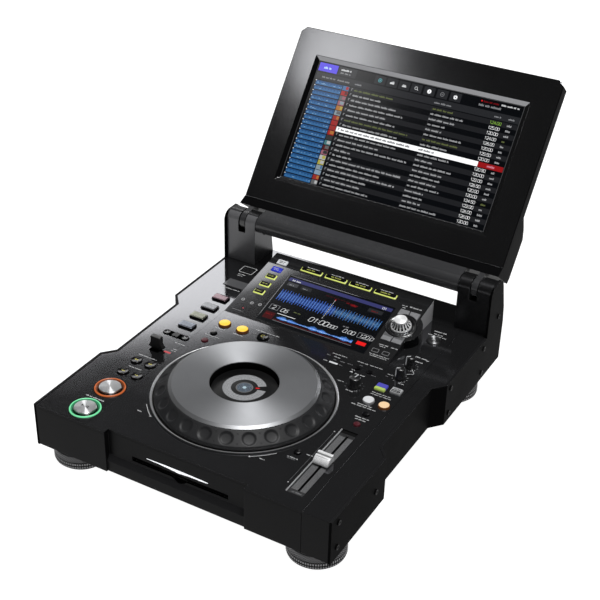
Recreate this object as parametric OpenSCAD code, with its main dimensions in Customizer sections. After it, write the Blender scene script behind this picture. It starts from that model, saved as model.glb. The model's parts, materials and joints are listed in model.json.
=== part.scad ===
// Tabletop disc player for a DJ booth, with a slot-loading drive, a touch-sensitive
// jog wheel, a deck display and a fold-up touchscreen lid.
// X runs across the player, Y from the front edge to the back, Z up.
// The origin is on the floor plane, in the middle of the overall box.

/* [Body] */
// Overall width over the side plates
body_w = 382.6; // [376:0.2:392]
// Depth of the body, front face to rear panel
body_d = 448; // [444:1:456]
// Height of the deck surface above the floor
deck_z = 80.6; // [76:0.2:88]
// Height of the underside above the floor
pan_z = 25.6; // [22:0.2:28]
// Thickness of the side plates
plate_t = 3; // [2.5:0.5:4]
// Thickness of the deck plates
deck_t = 3; // [2:0.5:3]
// How far the waist is drawn in on each side
waist_in = 13.1; // [8:0.1:14]
// Depth of the front recess around the disc slot
recess_d = 7; // [4:0.5:10]

/* [Disc slot] */
// Width of the disc slot
slot_w = 124.6; // [122:0.2:130]
// Height of the disc slot
slot_h = 6; // [5.6:0.2:8]

/* [Jog wheel] */
// Diameter of the jog wheel, over the dimpled rim
jog_d = 206; // [200:1:208]
// Diameter of the metal platter
platter_d = 173.6; // [166:0.2:178]
// Height of the platter face above the deck
platter_h = 19.2; // [17:0.2:22]
// Number of finger dimples in the rim
dimples = 24; // [20:1:28]
// Radial clearance of the hub on its post
hub_clear = 0.05; // [0.02:0.01:0.1]

/* [Lid] */
// Angle of the open lid from the horizontal
lid_a = 52.52; // [45:0.01:60]
// Length of the lid above the crease
lid_len = 243.1; // [236:0.1:250]
// Half width of the lid
lid_hw = 185.5; // [182:0.5:187]
// Width of the lid's screen opening
lid_scr_w = 303.5; // [290:0.5:310]
// Height of the lid's screen opening
lid_scr_h = 175.9; // [168:0.1:178]
// Radius of the hinge barrel
barrel_r = 12; // [11:0.5:12.5]
// Diameter of the hinge pins
pin_d = 8; // [6:0.5:9]

/* [Controls] */
// Travel of a key
key_travel = 1.5; // [1:0.1:1.5]
// Gap around a key in the deck
key_gap = 0.4; // [0.3:0.05:0.5]
// Travel of the tempo fader
fader_travel = 100; // [90:1:100]

/* [Feet] */
// Diameter of a foot
foot_d = 66.5; // [60:0.5:70]

/* [Hidden] */
$fn = 64;
e = 0.01;
hw = body_w/2;
iw = hw - plate_t;                 // half width between the side plates
ww = iw - waist_in;                // the same at the waist
dz = deck_z - deck_t;              // underside of the deck
crease = [438.65, 157.14];         // lid crease, Y and Z
axle = [411, 138.5];               // hinge axis, Y and Z
pil_in = 145.5;                    // inner face of a pillar
tong_x = 165.8;                    // middle of a hinge tongue
y_mid = (crease[0] + 240.6*cos(lid_a) + 18.4*sin(lid_a))/2;
jog = [1.3, 139.2];                // middle of the jog wheel
jr = jog_d/2 + 1.3;
seam_l = -117.5;                   // seams of the deck plates
seam_r = 156.5;
rec_l = -92.4;                     // ends of the front recess
rec_r = 87.5;
slot_z = 52.6;                     // middle of the disc slot
hs_a = 13.854;                     // slope of the display housing
hs_y = 280.5;
hs_l = 122.04;
sel = [98.9, 64.5];                   // selector, on the housing's face
scr = [3, 47.5, 151.6, 86.2];      // deck screen: middle X, middle S, width, height
play = [-137, 24.2];
cue = [-137.3, 70.2];
trk = [[-144.7,131.4],[-124.9,131.6],[-144.7,104.6],[-124.9,104.8]];
hot_y = [302, 276.4, 251, 225.8];
hot_x = -136.4;
call_c = [-136.2, 201.3];
bank = [[-100,229.6],[-100.3,210.4]];
loops = [[-99.2,253.6],[-73.3,253.3]];
reloop = [-43.6,253];
lever = [-139.3, 165.5];
fader = [137.3, 81.4];
eject = [137.6, 357];
knob_rel = [137.3, 291.4];
knob_tch = [137.3, 263.6];
knob_adj = [99.6, 221.6];
bluegreen = [127.4, 235.2];
silver = [145.8, 237.3];
kwhite = [126.6, 204.6];
ktan = [146.4, 204.2];
tempo_k = [[136.2,179.4],[136.2,157.9],[105,80.4]];
mem_k = [[85.9,255.2],[101.8,255.2]];
card = [-139.2, 343.3];
usb = [-145.4, 382.2];
src_x = -94.1;
src_s = [107.5, 93, 78.4, 62.8, 48];
menu_x = [-50.4, -14.8, 20.4, 56];
menu_s = 107.7;
// selector keys: middle X, middle S, width, height
selk = [[91.9,85.6,12.6,12.2],[105.9,85.6,12.6,12.2],[91.9,41.6,12.6,13.2],[105.9,41.6,12.6,13.2]];
sel_arc = 20.6;                    // radius the selector keys are hollowed to
feet = [[-156,36.3],[156,36.3],[-156,381.8],[156,381.8]];

// ---- helpers -------------------------------------------------------------
module at() { translate([0,-y_mid,0]) children(); }
// frame on the lid's front face: X across, Y up the lid, Z out of the face
module on_lid() { translate([0,crease[0],crease[1]]) rotate([lid_a,0,0]) children(); }
// frame on the display housing's face
module on_housing() { translate([0,hs_y,deck_z]) rotate([hs_a,0,0]) children(); }
// a YZ outline drawn out along X from x0 to x1
module along_x(x0,x1) {
  translate([x0,0,0]) rotate([90,0,90]) linear_extrude(x1-x0) children();
}
module rod(x,y,z0,z1,r) { translate([x,y,z0]) cylinder(r=r, h=z1-z0); }
module ring(x,y,z0,z1,r,ri) {
  difference() { rod(x,y,z0,z1,r); rod(x,y,z0-1,z1+1,ri); }
}
// a round key: cap above the deck, collar below it
module key_r(p,r,h,top=0) {
  translate([p[0],p[1],0]) rotate_extrude()
    polygon([[0,71],[r-0.6,71],[r-0.6,74.4],[r+1.6,74.4],[r+1.6,dz-0.4],[r,dz-0.4],
             [r,deck_z+h-0.6],[r-0.6,deck_z+h],[0,deck_z+h-top]]);
}
module key_q(p,w,d,h) {
  translate([p[0],p[1],0]) {
    translate([-w/2,-d/2,71]) cube([w,d,deck_z+h-0.5-71]);
    translate([-w/2+0.5,-d/2+0.5,deck_z+h-0.5-e]) cube([w-1,d-1,0.5+e]);
    translate([-w/2-1.5,-d/2-1.5,74.4]) cube([w+3,d+3,dz-0.4-74.4]);
  }
}
module hole_r(p,r) { rod(p[0],p[1],dz-1,deck_z+1,r+key_gap); }
module hole_q(p,w,d) {
  translate([p[0]-w/2-key_gap,p[1]-d/2-key_gap,dz-1])
    cube([w+2*key_gap,d+2*key_gap,deck_t+2]);
}
// a key on the housing's face, in the housing's frame
module hkey(p,w,d,h) {
  translate([p[0]-w/2,p[1]-d/2,-5]) cube([w,d,5+h]);
  translate([p[0]-w/2-1,p[1]-d/2-1,-5]) cube([w+2,d+2,1.6]);
}
module hhole(p,w,d) {
  translate([p[0]-w/2-key_gap,p[1]-d/2-key_gap,-6]) cube([w+2*key_gap,d+2*key_gap,8]);
}
// plan outline of one side, at half width w, between y0 and y1
function side_pts(w,s=1,y1=body_d) = [[s*w,0],[s*w,122-(hw-w)*0.4],
  [s*(w-waist_in),137.5-(hw-w)*0.4],[s*(w-waist_in),262.3+(hw-w)*0.4],
  [s*w,278.3+(hw-w)*0.4],[s*w,y1]];

// ---- casing --------------------------------------------------------------
module base_pan() { color("#26272a") at() {
  difference() {
    translate([0,0,pan_z]) linear_extrude(2)
      difference() {
        polygon(concat(side_pts(iw),[for (i=[5:-1:0]) side_pts(iw,-1)[i]]));
        translate([-iw-1,-1]) square([2*iw+2,10.5]);
        translate([-iw-1,body_d-3]) square([2*iw+2,5]);
      }
    for (x=[-60:15:60]) translate([x-2,240,pan_z-1]) cube([4,60,4]);
    for (f=feet) rod(f[0],f[1],pan_z-1,pan_z+3,3);
  }
  for (x=[-150,-40]) for (y=[208,330]) rod(x,y,pan_z+2-e,63,3.5);
  for (x=[-150]) for (y=[60,130]) rod(x,y,pan_z+2-e,63,3.5);
  for (x=[-62,64]) for (y=[30,170]) ring(x,y,pan_z+2-e,34,4,1.5);
} }

module deck_center() { color("#1c1d20") at() difference() {
  translate([0,0,dz]) linear_extrude(deck_t) difference() {
    translate([seam_l+0.15,0]) square([seam_r-seam_l-0.3,body_d]);
    translate([rec_l,-1]) square([rec_r-rec_l,recess_d+1]);
    translate([-111,283.8]) square([221,110]);
  }
  rod(jog[0],jog[1],dz-1,deck_z+1,10.1);
  for (p=bank) hole_r(p,4.3);
  for (p=loops) hole_r(p,7.8);
  hole_r(reloop,7.4);
  for (p=tempo_k) hole_r(p,4);
  for (p=mem_k) hole_r(p,3.4);
  hole_r(eject,8.8);
  hole_r(kwhite,6.9); hole_r(ktan,6.9);
  hole_q(bluegreen,13,12.6); hole_q(silver,13,10.2);
  for (p=[knob_rel,knob_tch,knob_adj]) rod(p[0],p[1],dz-1,deck_z+1,3.2);
  translate([fader[0]-11.6,fader[1]-61.5,dz-1]) cube([20,123,deck_t+2]);
} }

module deck_left() { color("#3a3b3e") at() difference() {
  translate([0,0,dz]) linear_extrude(deck_t) difference() {
    polygon(concat([for (i=[0:5]) side_pts(iw,-1)[i]],[[seam_l,body_d],[seam_l,0]]));
  }
  for (p=trk) hole_r(p,7.1);
  for (y=hot_y) hole_q([hot_x,y],20.4,12.2);
  for (p=[play,cue]) rod(p[0],p[1],dz-1,deck_z+1,18.3);
  translate([call_c[0]-13.2,call_c[1]-5.4,dz-1]) cube([26.4,10.8,6]);
  for (s=[-1,1]) rod(call_c[0]+s*13.2,call_c[1],dz-1,deck_z+1,5.4);
  translate([lever[0]-6.4,lever[1]-8,dz-1]) cube([12.8,16,6]);
  translate([card[0]-15.6,card[1]-9.1,deck_z-2]) cube([31.2,18.2,3]);
  translate([card[0]-12.5,card[1]-4,dz-1]) cube([25,3.2,6]);
  translate([usb[0]-6.6,usb[1]-2.9,dz-1]) cube([13.2,5.8,6]);
} }

module deck_right() { color("#1c1d20") at() {
  translate([0,0,dz]) linear_extrude(deck_t)
    polygon(concat([[seam_r,0]],side_pts(iw),[[seam_r,body_d]]));
  translate([seam_r,0,pan_z]) cube([iw-seam_r,2.5,dz-pan_z]);
} }

module front_panel() { color("#18191b") at() difference() {
  union() {
    translate([0,0,pan_z]) linear_extrude(dz-pan_z) polygon([
      [-iw,0],[rec_l,0],[rec_l,recess_d],[rec_r,recess_d],[rec_r,0],[seam_r-0.3,0],
      [seam_r-0.3,2.5],[rec_r+2.5,2.5],[rec_r+2.5,recess_d+2.5],
      [rec_l-2.5,recess_d+2.5],[rec_l-2.5,2.5],[-iw,2.5]]);
    along_x(rec_l,rec_r) polygon([[2.3,pan_z],[2.3,39.6],[recess_d+e,46.6],[recess_d+e,pan_z]]);
  }
  translate([jog[0]-slot_w/2,-1,slot_z-slot_h/2]) cube([slot_w,recess_d+5,slot_h]);
  intersection() {
    translate([jog[0],recess_d+5,slot_z+5]) rotate([90,0,0]) cylinder(r=12.4,h=recess_d+6);
    translate([jog[0]-20,-2,30]) cube([40,20,slot_z-30]);
  }
} }

module rear_panel() { color("#1c1d20") at() difference() {
  translate([-iw,body_d-3,pan_z]) cube([2*iw,3,dz-pan_z]);
  translate([101.4,body_d-5,39.4]) cube([48.2,8,25.2]);
  translate([20.4,body_d-5,43.4]) cube([17.2,8,15.2]);
  translate([72.6,body_d-5,43.6]) cube([16.8,8,20.8]);
  for (x=[-150,-128,-100]) translate([x,body_d+5,52]) rotate([90,0,0]) cylinder(r=6.2,h=10);
  for (x=[-60:8:0]) translate([x-1.5,body_d-5,40]) cube([3,8,26]);
} }

module rear_sockets() { color("#0e0f10") at() {
  // mains inlet
  difference() {
    translate([101.6,body_d-20,39.6]) cube([47.8,21.5,24.8]);
    translate([113.5,body_d-14,44.5]) cube([24,20,15]);
    for (x=[105.4,145.6]) translate([x,body_d+5,52]) rotate([90,0,0]) cylinder(r=1.6,h=12);
  }
  for (x=[118.5,132.5]) translate([x-1,body_d-14.5,47]) cube([2,12,4.4]);
  translate([124.5,body_d-14.5,47]) cube([2,12,3.4]);
  // network jack
  difference() {
    translate([20.6,body_d-16,43.6]) cube([16.8,16.8,14.8]);
    translate([23.2,body_d-13,46]) cube([11.6,20,7]);
    translate([26,body_d-13,52.9]) cube([6,20,3]);
  }
  // power switch
  difference() {
    translate([72.8,body_d-14,43.8]) cube([16.4,15,20.4]);
    translate([75.6,body_d-3,46.6]) cube([10.8,6,14.8]);
  }
  translate([76,body_d-3.2,47]) rotate([-8,0,0]) translate([0,-0.5,0.4]) cube([10,3,14]);
  // phono sockets: two analogue outputs and one digital
  for (x=[-150,-128,-100]) translate([x,body_d-12,52]) rotate([-90,0,0])
    difference() {
      union() { cylinder(r=6,h=13.2); cylinder(r=4.15,h=20); }
      translate([0,0,8]) cylinder(r=1.9,h=20);
    }
} }

screws = [[15.4,71],[13.7,39],[388.6,70],[388.5,34.4],[290.2,70.6],[290.2,35],[100,50],[428,96]];
module side_plates() { color("#2b2c2f") at() for (s=[-1,1]) difference() {
 union() {
  translate([0,0,pan_z-0.8]) linear_extrude(deck_z+0.5-pan_z+0.8)
    difference() {
      polygon(concat(side_pts(hw,s),[for (i=[5:-1:0]) side_pts(iw,s)[i]]));
      translate([-300,body_d-1]) square([600,10]);
    }
  along_x(s>0 ? iw : -hw, s>0 ? hw : -iw) difference() {
    union() {
      polygon([[395.7,deck_z],[395.7,137],[408.5,137],[408.5,149.8],[424,149.8],[430,145],
               [433.4,139],[444,102],[body_d-1,deck_z]]);
      translate([408.5,137]) circle(r=12.8);
    }
  }
 }
 for (p=screws) translate([s*(iw-1),p[0],p[1]]) rotate([0,s*90,0]) cylinder(r=1.55,h=6,$fn=24);
} }

module hinge_pillars() { color("#3f4144") at() for (s=[-1,1]) difference() {
  along_x(s>0 ? pil_in : -iw, s>0 ? iw : -pil_in) union() {
    polygon([[399,deck_z],[399,axle[1]],[axle[0],axle[1]],[axle[0],axle[1]+12],[422,149.4],
             [428.6,144],[433.2,137.6],[444,102],[body_d-1,deck_z]]);
    translate(axle) circle(r=12);
  }
  translate([s*tong_x-5.25,390,125]) cube([10.5,60,40]);
  translate([s*(pil_in-2),axle[0],axle[1]]) rotate([0,s*90,0]) cylinder(d=pin_d,h=40);
  // hollow inside the lower part
  translate([s*(pil_in+iw)/2-18.4,403,deck_z-1]) cube([36.8,32,20]);
} }

module hinge_pins() { color("silver") at() for (s=[-1,1])
  translate([s*122,axle[0],axle[1]]) rotate([0,s*90,0]) {
    cylinder(d=pin_d,h=pil_in+38-122-2);
  }
}

module foot_rings() { color("#8a8c90") at() for (f=feet) difference() {
  union() {
    rod(f[0],f[1],3,21.4,foot_d/2);
    translate([f[0],f[1],2]) cylinder(r1=foot_d/2-1.2,r2=foot_d/2,h=1+e);
    rod(f[0],f[1],21.4-e,pan_z,foot_d/2-6);
  }
  rod(f[0],f[1],1,2.6,foot_d/2-3);
  rod(f[0],f[1],1,pan_z+1,3);
} }

module foot_pads() { color("#141414") at() for (f=feet) difference() {
  union() { rod(f[0],f[1],0,2.6,foot_d/2-3.4); }
  rod(f[0],f[1],-1,1.2,10);
} }

module housing_plan(g=0) {
  polygon([[-117+g,hs_y+g],[113-g,hs_y+g],[116-g,399-g],[-111+g,399-g]]);
  translate([sel[0],hs_y+sel[1]*cos(hs_a)]) circle(r=26.4-g);
}
module display_housing() { color("#141517") at() difference() {
  intersection() {
    translate([0,0,deck_z]) linear_extrude(60) housing_plan();
    on_housing() translate([-200,-5,-60]) cube([400,hs_l+12,60.2]);
  }
  intersection() {
    translate([0,0,deck_z-5]) linear_extrude(60) housing_plan(2.5);
    on_housing() translate([-200,2,-60]) cube([400,hs_l+12,57.6]);
    translate([-112,292,deck_z-5]) cube([222,103,60]);
  }
  on_housing() translate([scr[0]-scr[2]/2-0.2,scr[1]-scr[3]/2-0.2,-4]) cube([scr[2]+0.4,scr[3]+0.4,10]);
  on_housing() {
    for (s=src_s) hhole([src_x,s],14.4,8.4);
    for (x=menu_x) hhole([x,menu_s],30.4,7.3);
    for (p=selk) {
      difference() {
        hhole(p,p[2],p[3]);
        translate([sel[0],sel[1],-7]) cylinder(r=sel_arc-key_gap,h=12);
      }
      translate([p[0]-p[2]/2-1.3,p[1]-p[3]/2-1.3,-6]) cube([p[2]+2.6,p[3]+2.6,3.2]);
    }
    translate([sel[0],sel[1],-20]) cylinder(r=4.4,h=30);
    translate([sel[0],sel[1],-0.9]) cylinder(r=14,h=3);
  }
} }

module deck_display() { color("#101a2c") at() on_housing() {
  translate([scr[0]-scr[2]/2,scr[1]-scr[3]/2,-1.6]) cube([scr[2],scr[3],1.6]);
  translate([scr[0]-scr[2]/2+1,scr[1]-scr[3]/2+3,-4.4]) cube([scr[2]-2,scr[3]-5,2.8]);
} }

module jog_ring() { color("#c9cbd0") at() translate([jog[0],jog[1],0]) rotate_extrude($fn=128)
  polygon([[jr+0.7,deck_z],[jr+4,deck_z],[jr+4,deck_z+1.4],[jr+3.3,deck_z+2],
           [jr+1.2,deck_z+2],[jr+0.7,deck_z+1.6]]);
}

module jog_display() { color("#0c0d0f") at() translate([jog[0],jog[1],0]) rotate_extrude($fn=96)
  polygon([[0,66],[12,66],[12,68],[10,68],[10,deck_z],[15,deck_z],[15,deck_z+1],
           [10,deck_z+1],[10,86.4],[38.4,86.4],[38.4,91.4],[37.6,91.9],[0,91.9]]);
}

module light_rings() { color("#ff7a33") at() for (p=[play,cue]) difference() {
  union() {
    rod(p[0],p[1],dz-1,deck_z,18.2);
    ring(p[0],p[1],deck_z-e,deck_z+1.4,18.2,16);
    rod(p[0],p[1],dz-1.6,dz,20.5);
  }
  rod(p[0],p[1],dz-3,deck_z+3,14.8);
} }

module tempo_track() { color("#2a2b2d") at() difference() {
  union() {
    translate([fader[0]-11.5,fader[1]-61.4,dz+0.4]) cube([19.8,122.8,1.4]);
    translate([fader[0]-9,fader[1]-59,60]) cube([17,118,dz+0.5-60]);
  }
  translate([fader[0]-1.1,fader[1]-54,59]) cube([2.2,108,30]);
  translate([fader[0]-4,fader[1]-55.5,62]) cube([8,111,12]);
} }

module main_board() { color("#1f5c39") at() difference() {
  translate([0,0,63]) linear_extrude(1.6)
    polygon([[-170,14],[-104,14],[-104,196],[36,196],[36,436],[-170,436]]);
  for (x=[-150,-40]) for (y=[208,330]) rod(x,y,62,66,1.6);
  for (p=[[-150,60],[-150,130]]) rod(p[0],p[1],62,66,1.6);
} }

module power_supply() { color("#9ea1a5") at() difference() {
  translate([52,212,pan_z+2]) cube([104,190,34]);
  translate([54,214,pan_z+4]) cube([100,186,34]);
  for (y=[226:12:390]) translate([50,y,34]) cube([110,5,20]);
} }

module disc_drive() { color("#7b7f84") at() difference() {
  translate([jog[0]-74,13,34]) cube([148,172,23.4]);
  translate([jog[0]-72,12,slot_z-2.8]) cube([144,171,5.6]);
  rod(jog[0],80,38,slot_z,17);
  translate([jog[0]-72.4,14.6,35.6]) cube([144.8,168.8,12.6]);
} }

module case_screws() { color("#3c3d40") at() for (s=[-1,1])
  for (p=screws)
    translate([s*hw,p[0],p[1]]) rotate([0,s*90,0]) difference() {
      translate([0,0,-3]) union() { cylinder(r=1.5,h=3.4,$fn=24); translate([0,0,3]) cylinder(r=3.2,h=1.2,$fn=32); }
      translate([0,0,0.5]) cylinder(r=1.5,h=3,$fn=6);
    }
}

// ---- lid -----------------------------------------------------------------
module lid_corners() {
  for (s=[-1,1]) translate([s*lid_hw,lid_len,-30]) rotate([0,0,45]) translate([-5,-5,0]) cube([10,10,60]);
}
module lid_back() { color("#242528") at() on_lid() difference() {
  along_x(-lid_hw,lid_hw) polygon([[0,0],[2,-5],[lid_len-0.6,-5],[240.6,-18.4],[70,-17],
    [58,-33.6],[47,-43],[-4.5,-41.5],[-12,-39],[-12,7]]);
  along_x(-lid_hw+3,lid_hw-3) polygon([[5,-4],[lid_len-4,-4],[lid_len-6,-15.4],[68,-14],
    [55.5,-31.5],[45.5,-40],[-3.5,-38.5],[-9,-36.5],[-9,-6]]);
  lid_corners();
  for (x=[-150:10:150]) translate([x-2,18,-60]) cube([4,20,24]);
} }

module lid_bezel() { color("#1d1e21") at() on_lid() difference() {
  along_x(-lid_hw,lid_hw) polygon([[0,0],[2,-5],[lid_len-0.6,-5],[lid_len,0]]);
  lid_corners();
  translate([-lid_scr_w/2,32.15,-6]) cube([lid_scr_w,lid_scr_h,8]);
} }

module lid_touchscreen() { color("#0b1220") at() on_lid() {
  translate([-lid_scr_w/2+0.2,32.35,-5]) cube([lid_scr_w-0.4,lid_scr_h-0.4,1.6]);
  translate([-lid_scr_w/2+4,38,-12.4]) cube([lid_scr_w-8,lid_scr_h-12,7.4]);
} }

module hinge_cover() { color("#232427") at() difference() {
  union() {
    translate([-pil_in+1,axle[0],axle[1]]) rotate([0,90,0]) cylinder(r=barrel_r,h=2*pil_in-2);
    on_lid() along_x(-pil_in+1,pil_in-1)
      polygon([[-12,7],[-24.2,20.2],[-31.6,10.6],[-26,0.5],[-12,-6]]);
    for (s=[-1,1]) {
      translate([s*tong_x-3.75,axle[0],axle[1]]) rotate([0,90,0]) cylinder(r=11.4,h=7.5);
      on_lid() along_x(s*tong_x-3.75,s*tong_x+3.75)
        polygon([[-12,6.6],[-24,18],[-31.6,10.6],[-27,0.6],[-12,-6]]);
    }
  }
  for (s=[-1,1]) translate([s*118,axle[0],axle[1]]) rotate([0,s*90,0])
    cylinder(d=pin_d+0.1,h=60);
} }

// ---- jog wheel -----------------------------------------------------------
pl = platter_d/2;
pz = deck_z + platter_h;
module jog_rim() { color("#202124") at() translate([jog[0],jog[1],0]) difference() {
  rotate_extrude($fn=128) polygon([[10+hub_clear,82.4],[96,82.4],[96,81.2],[jog_d/2,81.2],
    [jog_d/2,84.4],[jog_d/2-1.2,85.8],[pl+1.6,pz-3.4],[pl+0.4,pz-3],[pl-3,pz-3],[pl-3,pz-7],
    [44,pz-7],[41.8,pz-9],[41.8,85.4],[10+hub_clear,85.4]]);
  for (i=[0:dimples-1]) rotate([0,0,i*360/dimples+5]) translate([94.4,0,92.3])
    rotate([0,46,0]) translate([0,0,16.4]) sphere(r=18.6,$fn=32);
} }

module jog_platter() { color("#b9bcc1") at() translate([jog[0],jog[1],0])
  rotate_extrude($fn=128) polygon([[39.9,pz-8.6],[41.5,pz-8.6],[41.5,pz-6.9],[pl-3.2,pz-6.9],
    [pl-3.2,pz-2.9],[pl,pz-2.9],[pl,pz-2.4],[pl-3.8,pz],[40.4,pz],[39.9,pz-0.5]]);
}

// ---- keys ----------------------------------------------------------------
module big_cap(p) { translate([p[0],p[1],0]) rotate_extrude()
  polygon([[0,71],[14.2,71],[14.2,81.4],[13.4,82.6],[12.6,82.9],[8,83.4],[0,83.6]]); }
module play_button() { color("#c8cacd") at() big_cap(play); }
module cue_button() { color("#c8cacd") at() big_cap(cue); }
module track_back_key() { color("#17181a") at() key_r(trk[2],7.1,2.2,0.5); }
module track_next_key() { color("#17181a") at() key_r(trk[3],7.1,2.2,0.5); }
module search_back_key() { color("#17181a") at() key_r(trk[0],7.1,2.2,0.5); }
module search_next_key() { color("#17181a") at() key_r(trk[1],7.1,2.2,0.5); }
module hot_cue_key_a() { color("#b58a98") at() key_q([hot_x,hot_y[0]],20.4,12.2,2.8); }
module hot_cue_key_b() { color("#9aa0a4") at() key_q([hot_x,hot_y[1]],20.4,12.2,2.8); }
module hot_cue_key_c() { color("#a5ad92") at() key_q([hot_x,hot_y[2]],20.4,12.2,2.8); }
module hot_cue_key_d() { color("#93a0b0") at() key_q([hot_x,hot_y[3]],20.4,12.2,2.8); }
module loop_in_key() { color("#ffc21f") at() key_r(loops[0],7.8,2.6,0); }
module loop_out_key() { color("#ffc21f") at() key_r(loops[1],7.8,2.6,0); }
module reloop_key() { color("#17181a") at() key_r(reloop,7.4,2.4,0.6); }
module call_keys() { color("#17181a") at() {
  for (s=[-1,1]) rod(call_c[0]+s*13.2,call_c[1],73.6,deck_z+1.6,4.6);
  translate([call_c[0]-4.4,call_c[1]-4.4,73.6]) cube([8.8,8.8,deck_z+1.4-73.6]);
  translate([call_c[0]-16,call_c[1]-3,72]) cube([32,6,1.7]);
} }
module bank_keys() { color("#17181a") at() for (p=bank) key_r(p,4.3,1.6,0.3); }
module tempo_keys() { color("#17181a") at() for (p=tempo_k) key_r(p,4,1.6,0.3); }
module memory_keys() { color("#17181a") at() for (p=mem_k) key_r(p,3.4,1.4,0.2); }
module round_key_white() { color("#e6e6e2") at() key_r(kwhite,6.9,2.2,0.4); }
module round_key_tan() { color("#d8a76a") at() key_r(ktan,6.9,2.2,0.4); }
module eject_button() { color("#2a2b2e") at() key_r(eject,8.8,2.2,0.7); }
module sync_keys() { color("#3a3f9c") at() key_q(bluegreen,13,12.6,1.8); }
module sync_mode_key() { color("#b9bbbf") at() key_q(silver,13,10.2,1.8); }

module source_keys() { color("#d9dadd") at() on_housing() for (s=src_s) hkey([src_x,s],14.4,8.4,1.4); }
module menu_keys() { color("#1b1c1e") at() on_housing() for (x=menu_x) hkey([x,menu_s],30.4,7.3,1.4); }
module selector_keys() { color("#8c8f93") at() on_housing() for (p=selk) difference() {
  hkey(p,p[2],p[3],1.4);
  translate([sel[0],sel[1],-7]) cylinder(r=sel_arc,h=12);
} }

// ---- knobs and levers ----------------------------------------------------
module selector_knob() { color("#c8cacd") at() on_housing() translate([sel[0],sel[1],0])
  rotate_extrude() polygon([[0,-9],[4.2,-9],[4.2,-0.4],[12.8,-0.4],[12.8,1.8],[12.2,3],[10.8,4.4],
    [9.6,6.4],[8.7,9],[8.2,11.4],[8,12.2],[7.4,12.8],[0,12.8]]);
}
module tall_knob(p,r,h) { translate([p[0],p[1],0]) difference() {
  rotate_extrude() polygon([[0,70],[3,70],[3,deck_z+0.5],[r,deck_z+0.5],[r-0.2,deck_z+3],
    [r-1,deck_z+h-0.6],[r-1.5,deck_z+h],[0,deck_z+h]]);
  translate([-0.4,1.4,deck_z+h-0.5]) cube([0.8,10,2]);
} }
module release_knob() { color("#1a1b1d") at() tall_knob(knob_rel,6,14.6); }
module touch_knob() { color("#1a1b1d") at() tall_knob(knob_tch,6,14.6); }
module jog_adjust_knob() { color("#1a1b1d") at() tall_knob(knob_adj,7.6,12.6); }

module tempo_knob() { color("#d3d5d8") at() translate([fader[0],fader[1],0]) {
  translate([-0.8,-3,64]) cube([1.6,6,18.8]);
  translate([-3.2,-4,63]) cube([6.4,8,5]);
  along_x(-9,9) polygon([[-9.6,82.6],[4.8,82.6],[4.8,88.8],[4.5,90.4],[3.9,91.1],[1.4,90.9],[0.8,90.4],
    [0.4,88.6],[-0.8,88.3],[-1.3,88.7],[-1.8,90.1],[-2.6,90.4],[-5.4,89.2],[-8.4,86.8],[-9.3,84.8],[-9.6,83.4]]);
} }

module direction_lever() { color("#141516") at() translate([lever[0],lever[1],0]) {
  translate([-5.8,0,76]) rotate([0,90,0]) cylinder(r=4,h=11.6);
  translate([-5.8,-3.2,76]) cube([11.6,6.4,8]);
  translate([-7,-3.6,83]) cube([14,7.2,15.4]);
  for (s=[-1,1]) translate([s*7,0,0]) rotate([90,0,0]) translate([0,0,-3.2]) linear_extrude(6.4)
    polygon([[0,83],[s*3.6,84.6],[0,90]]);
} }

module card_door() { color("#4a4c50") at() {
  translate([card[0]-15,card[1]-8.5,deck_z-0.4]) cube([30,17,1.2]);
  translate([card[0]-14.4,card[1]+7.3,deck_z-0.2]) rotate([0,90,0]) cylinder(r=0.9,h=28.8);
} }

base_pan();
deck_center();
deck_left();
deck_right();
front_panel();
rear_panel();
rear_sockets();
side_plates();
hinge_pillars();
hinge_pins();
foot_rings();
foot_pads();
display_housing();
deck_display();
jog_ring();
jog_display();
light_rings();
tempo_track();
main_board();
power_supply();
disc_drive();
case_screws();
lid_back();
lid_bezel();
lid_touchscreen();
hinge_cover();
jog_rim();
jog_platter();
play_button();
cue_button();
track_back_key();
track_next_key();
search_back_key();
search_next_key();
hot_cue_key_a();
hot_cue_key_b();
hot_cue_key_c();
hot_cue_key_d();
loop_in_key();
loop_out_key();
reloop_key();
call_keys();
bank_keys();
direction_lever();
tempo_knob();
selector_knob();
selector_keys();
source_keys();
menu_keys();
eject_button();
release_knob();
touch_knob();
jog_adjust_knob();
sync_keys();
sync_mode_key();
round_key_white();
round_key_tan();
tempo_keys();
memory_keys();
card_door();
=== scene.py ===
import bpy, bmesh, math, random, json
from mathutils import Vector, Matrix

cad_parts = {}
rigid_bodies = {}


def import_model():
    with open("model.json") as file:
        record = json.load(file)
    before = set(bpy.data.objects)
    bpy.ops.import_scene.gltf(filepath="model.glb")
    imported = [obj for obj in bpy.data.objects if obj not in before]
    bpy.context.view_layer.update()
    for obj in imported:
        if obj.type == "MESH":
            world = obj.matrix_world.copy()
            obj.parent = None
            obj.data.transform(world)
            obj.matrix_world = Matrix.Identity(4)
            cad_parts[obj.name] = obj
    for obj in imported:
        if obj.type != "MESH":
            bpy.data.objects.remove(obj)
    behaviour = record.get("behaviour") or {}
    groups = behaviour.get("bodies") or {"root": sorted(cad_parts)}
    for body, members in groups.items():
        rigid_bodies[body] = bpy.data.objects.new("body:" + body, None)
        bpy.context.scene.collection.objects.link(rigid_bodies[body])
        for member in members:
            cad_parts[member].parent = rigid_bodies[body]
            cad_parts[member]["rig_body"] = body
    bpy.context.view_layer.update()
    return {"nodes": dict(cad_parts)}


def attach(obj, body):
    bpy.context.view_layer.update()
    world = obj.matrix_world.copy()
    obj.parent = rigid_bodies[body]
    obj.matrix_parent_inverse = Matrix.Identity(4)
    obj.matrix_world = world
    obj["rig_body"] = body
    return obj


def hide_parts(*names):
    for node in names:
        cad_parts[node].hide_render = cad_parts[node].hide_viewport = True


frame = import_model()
rnd = random.Random(7)

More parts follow.
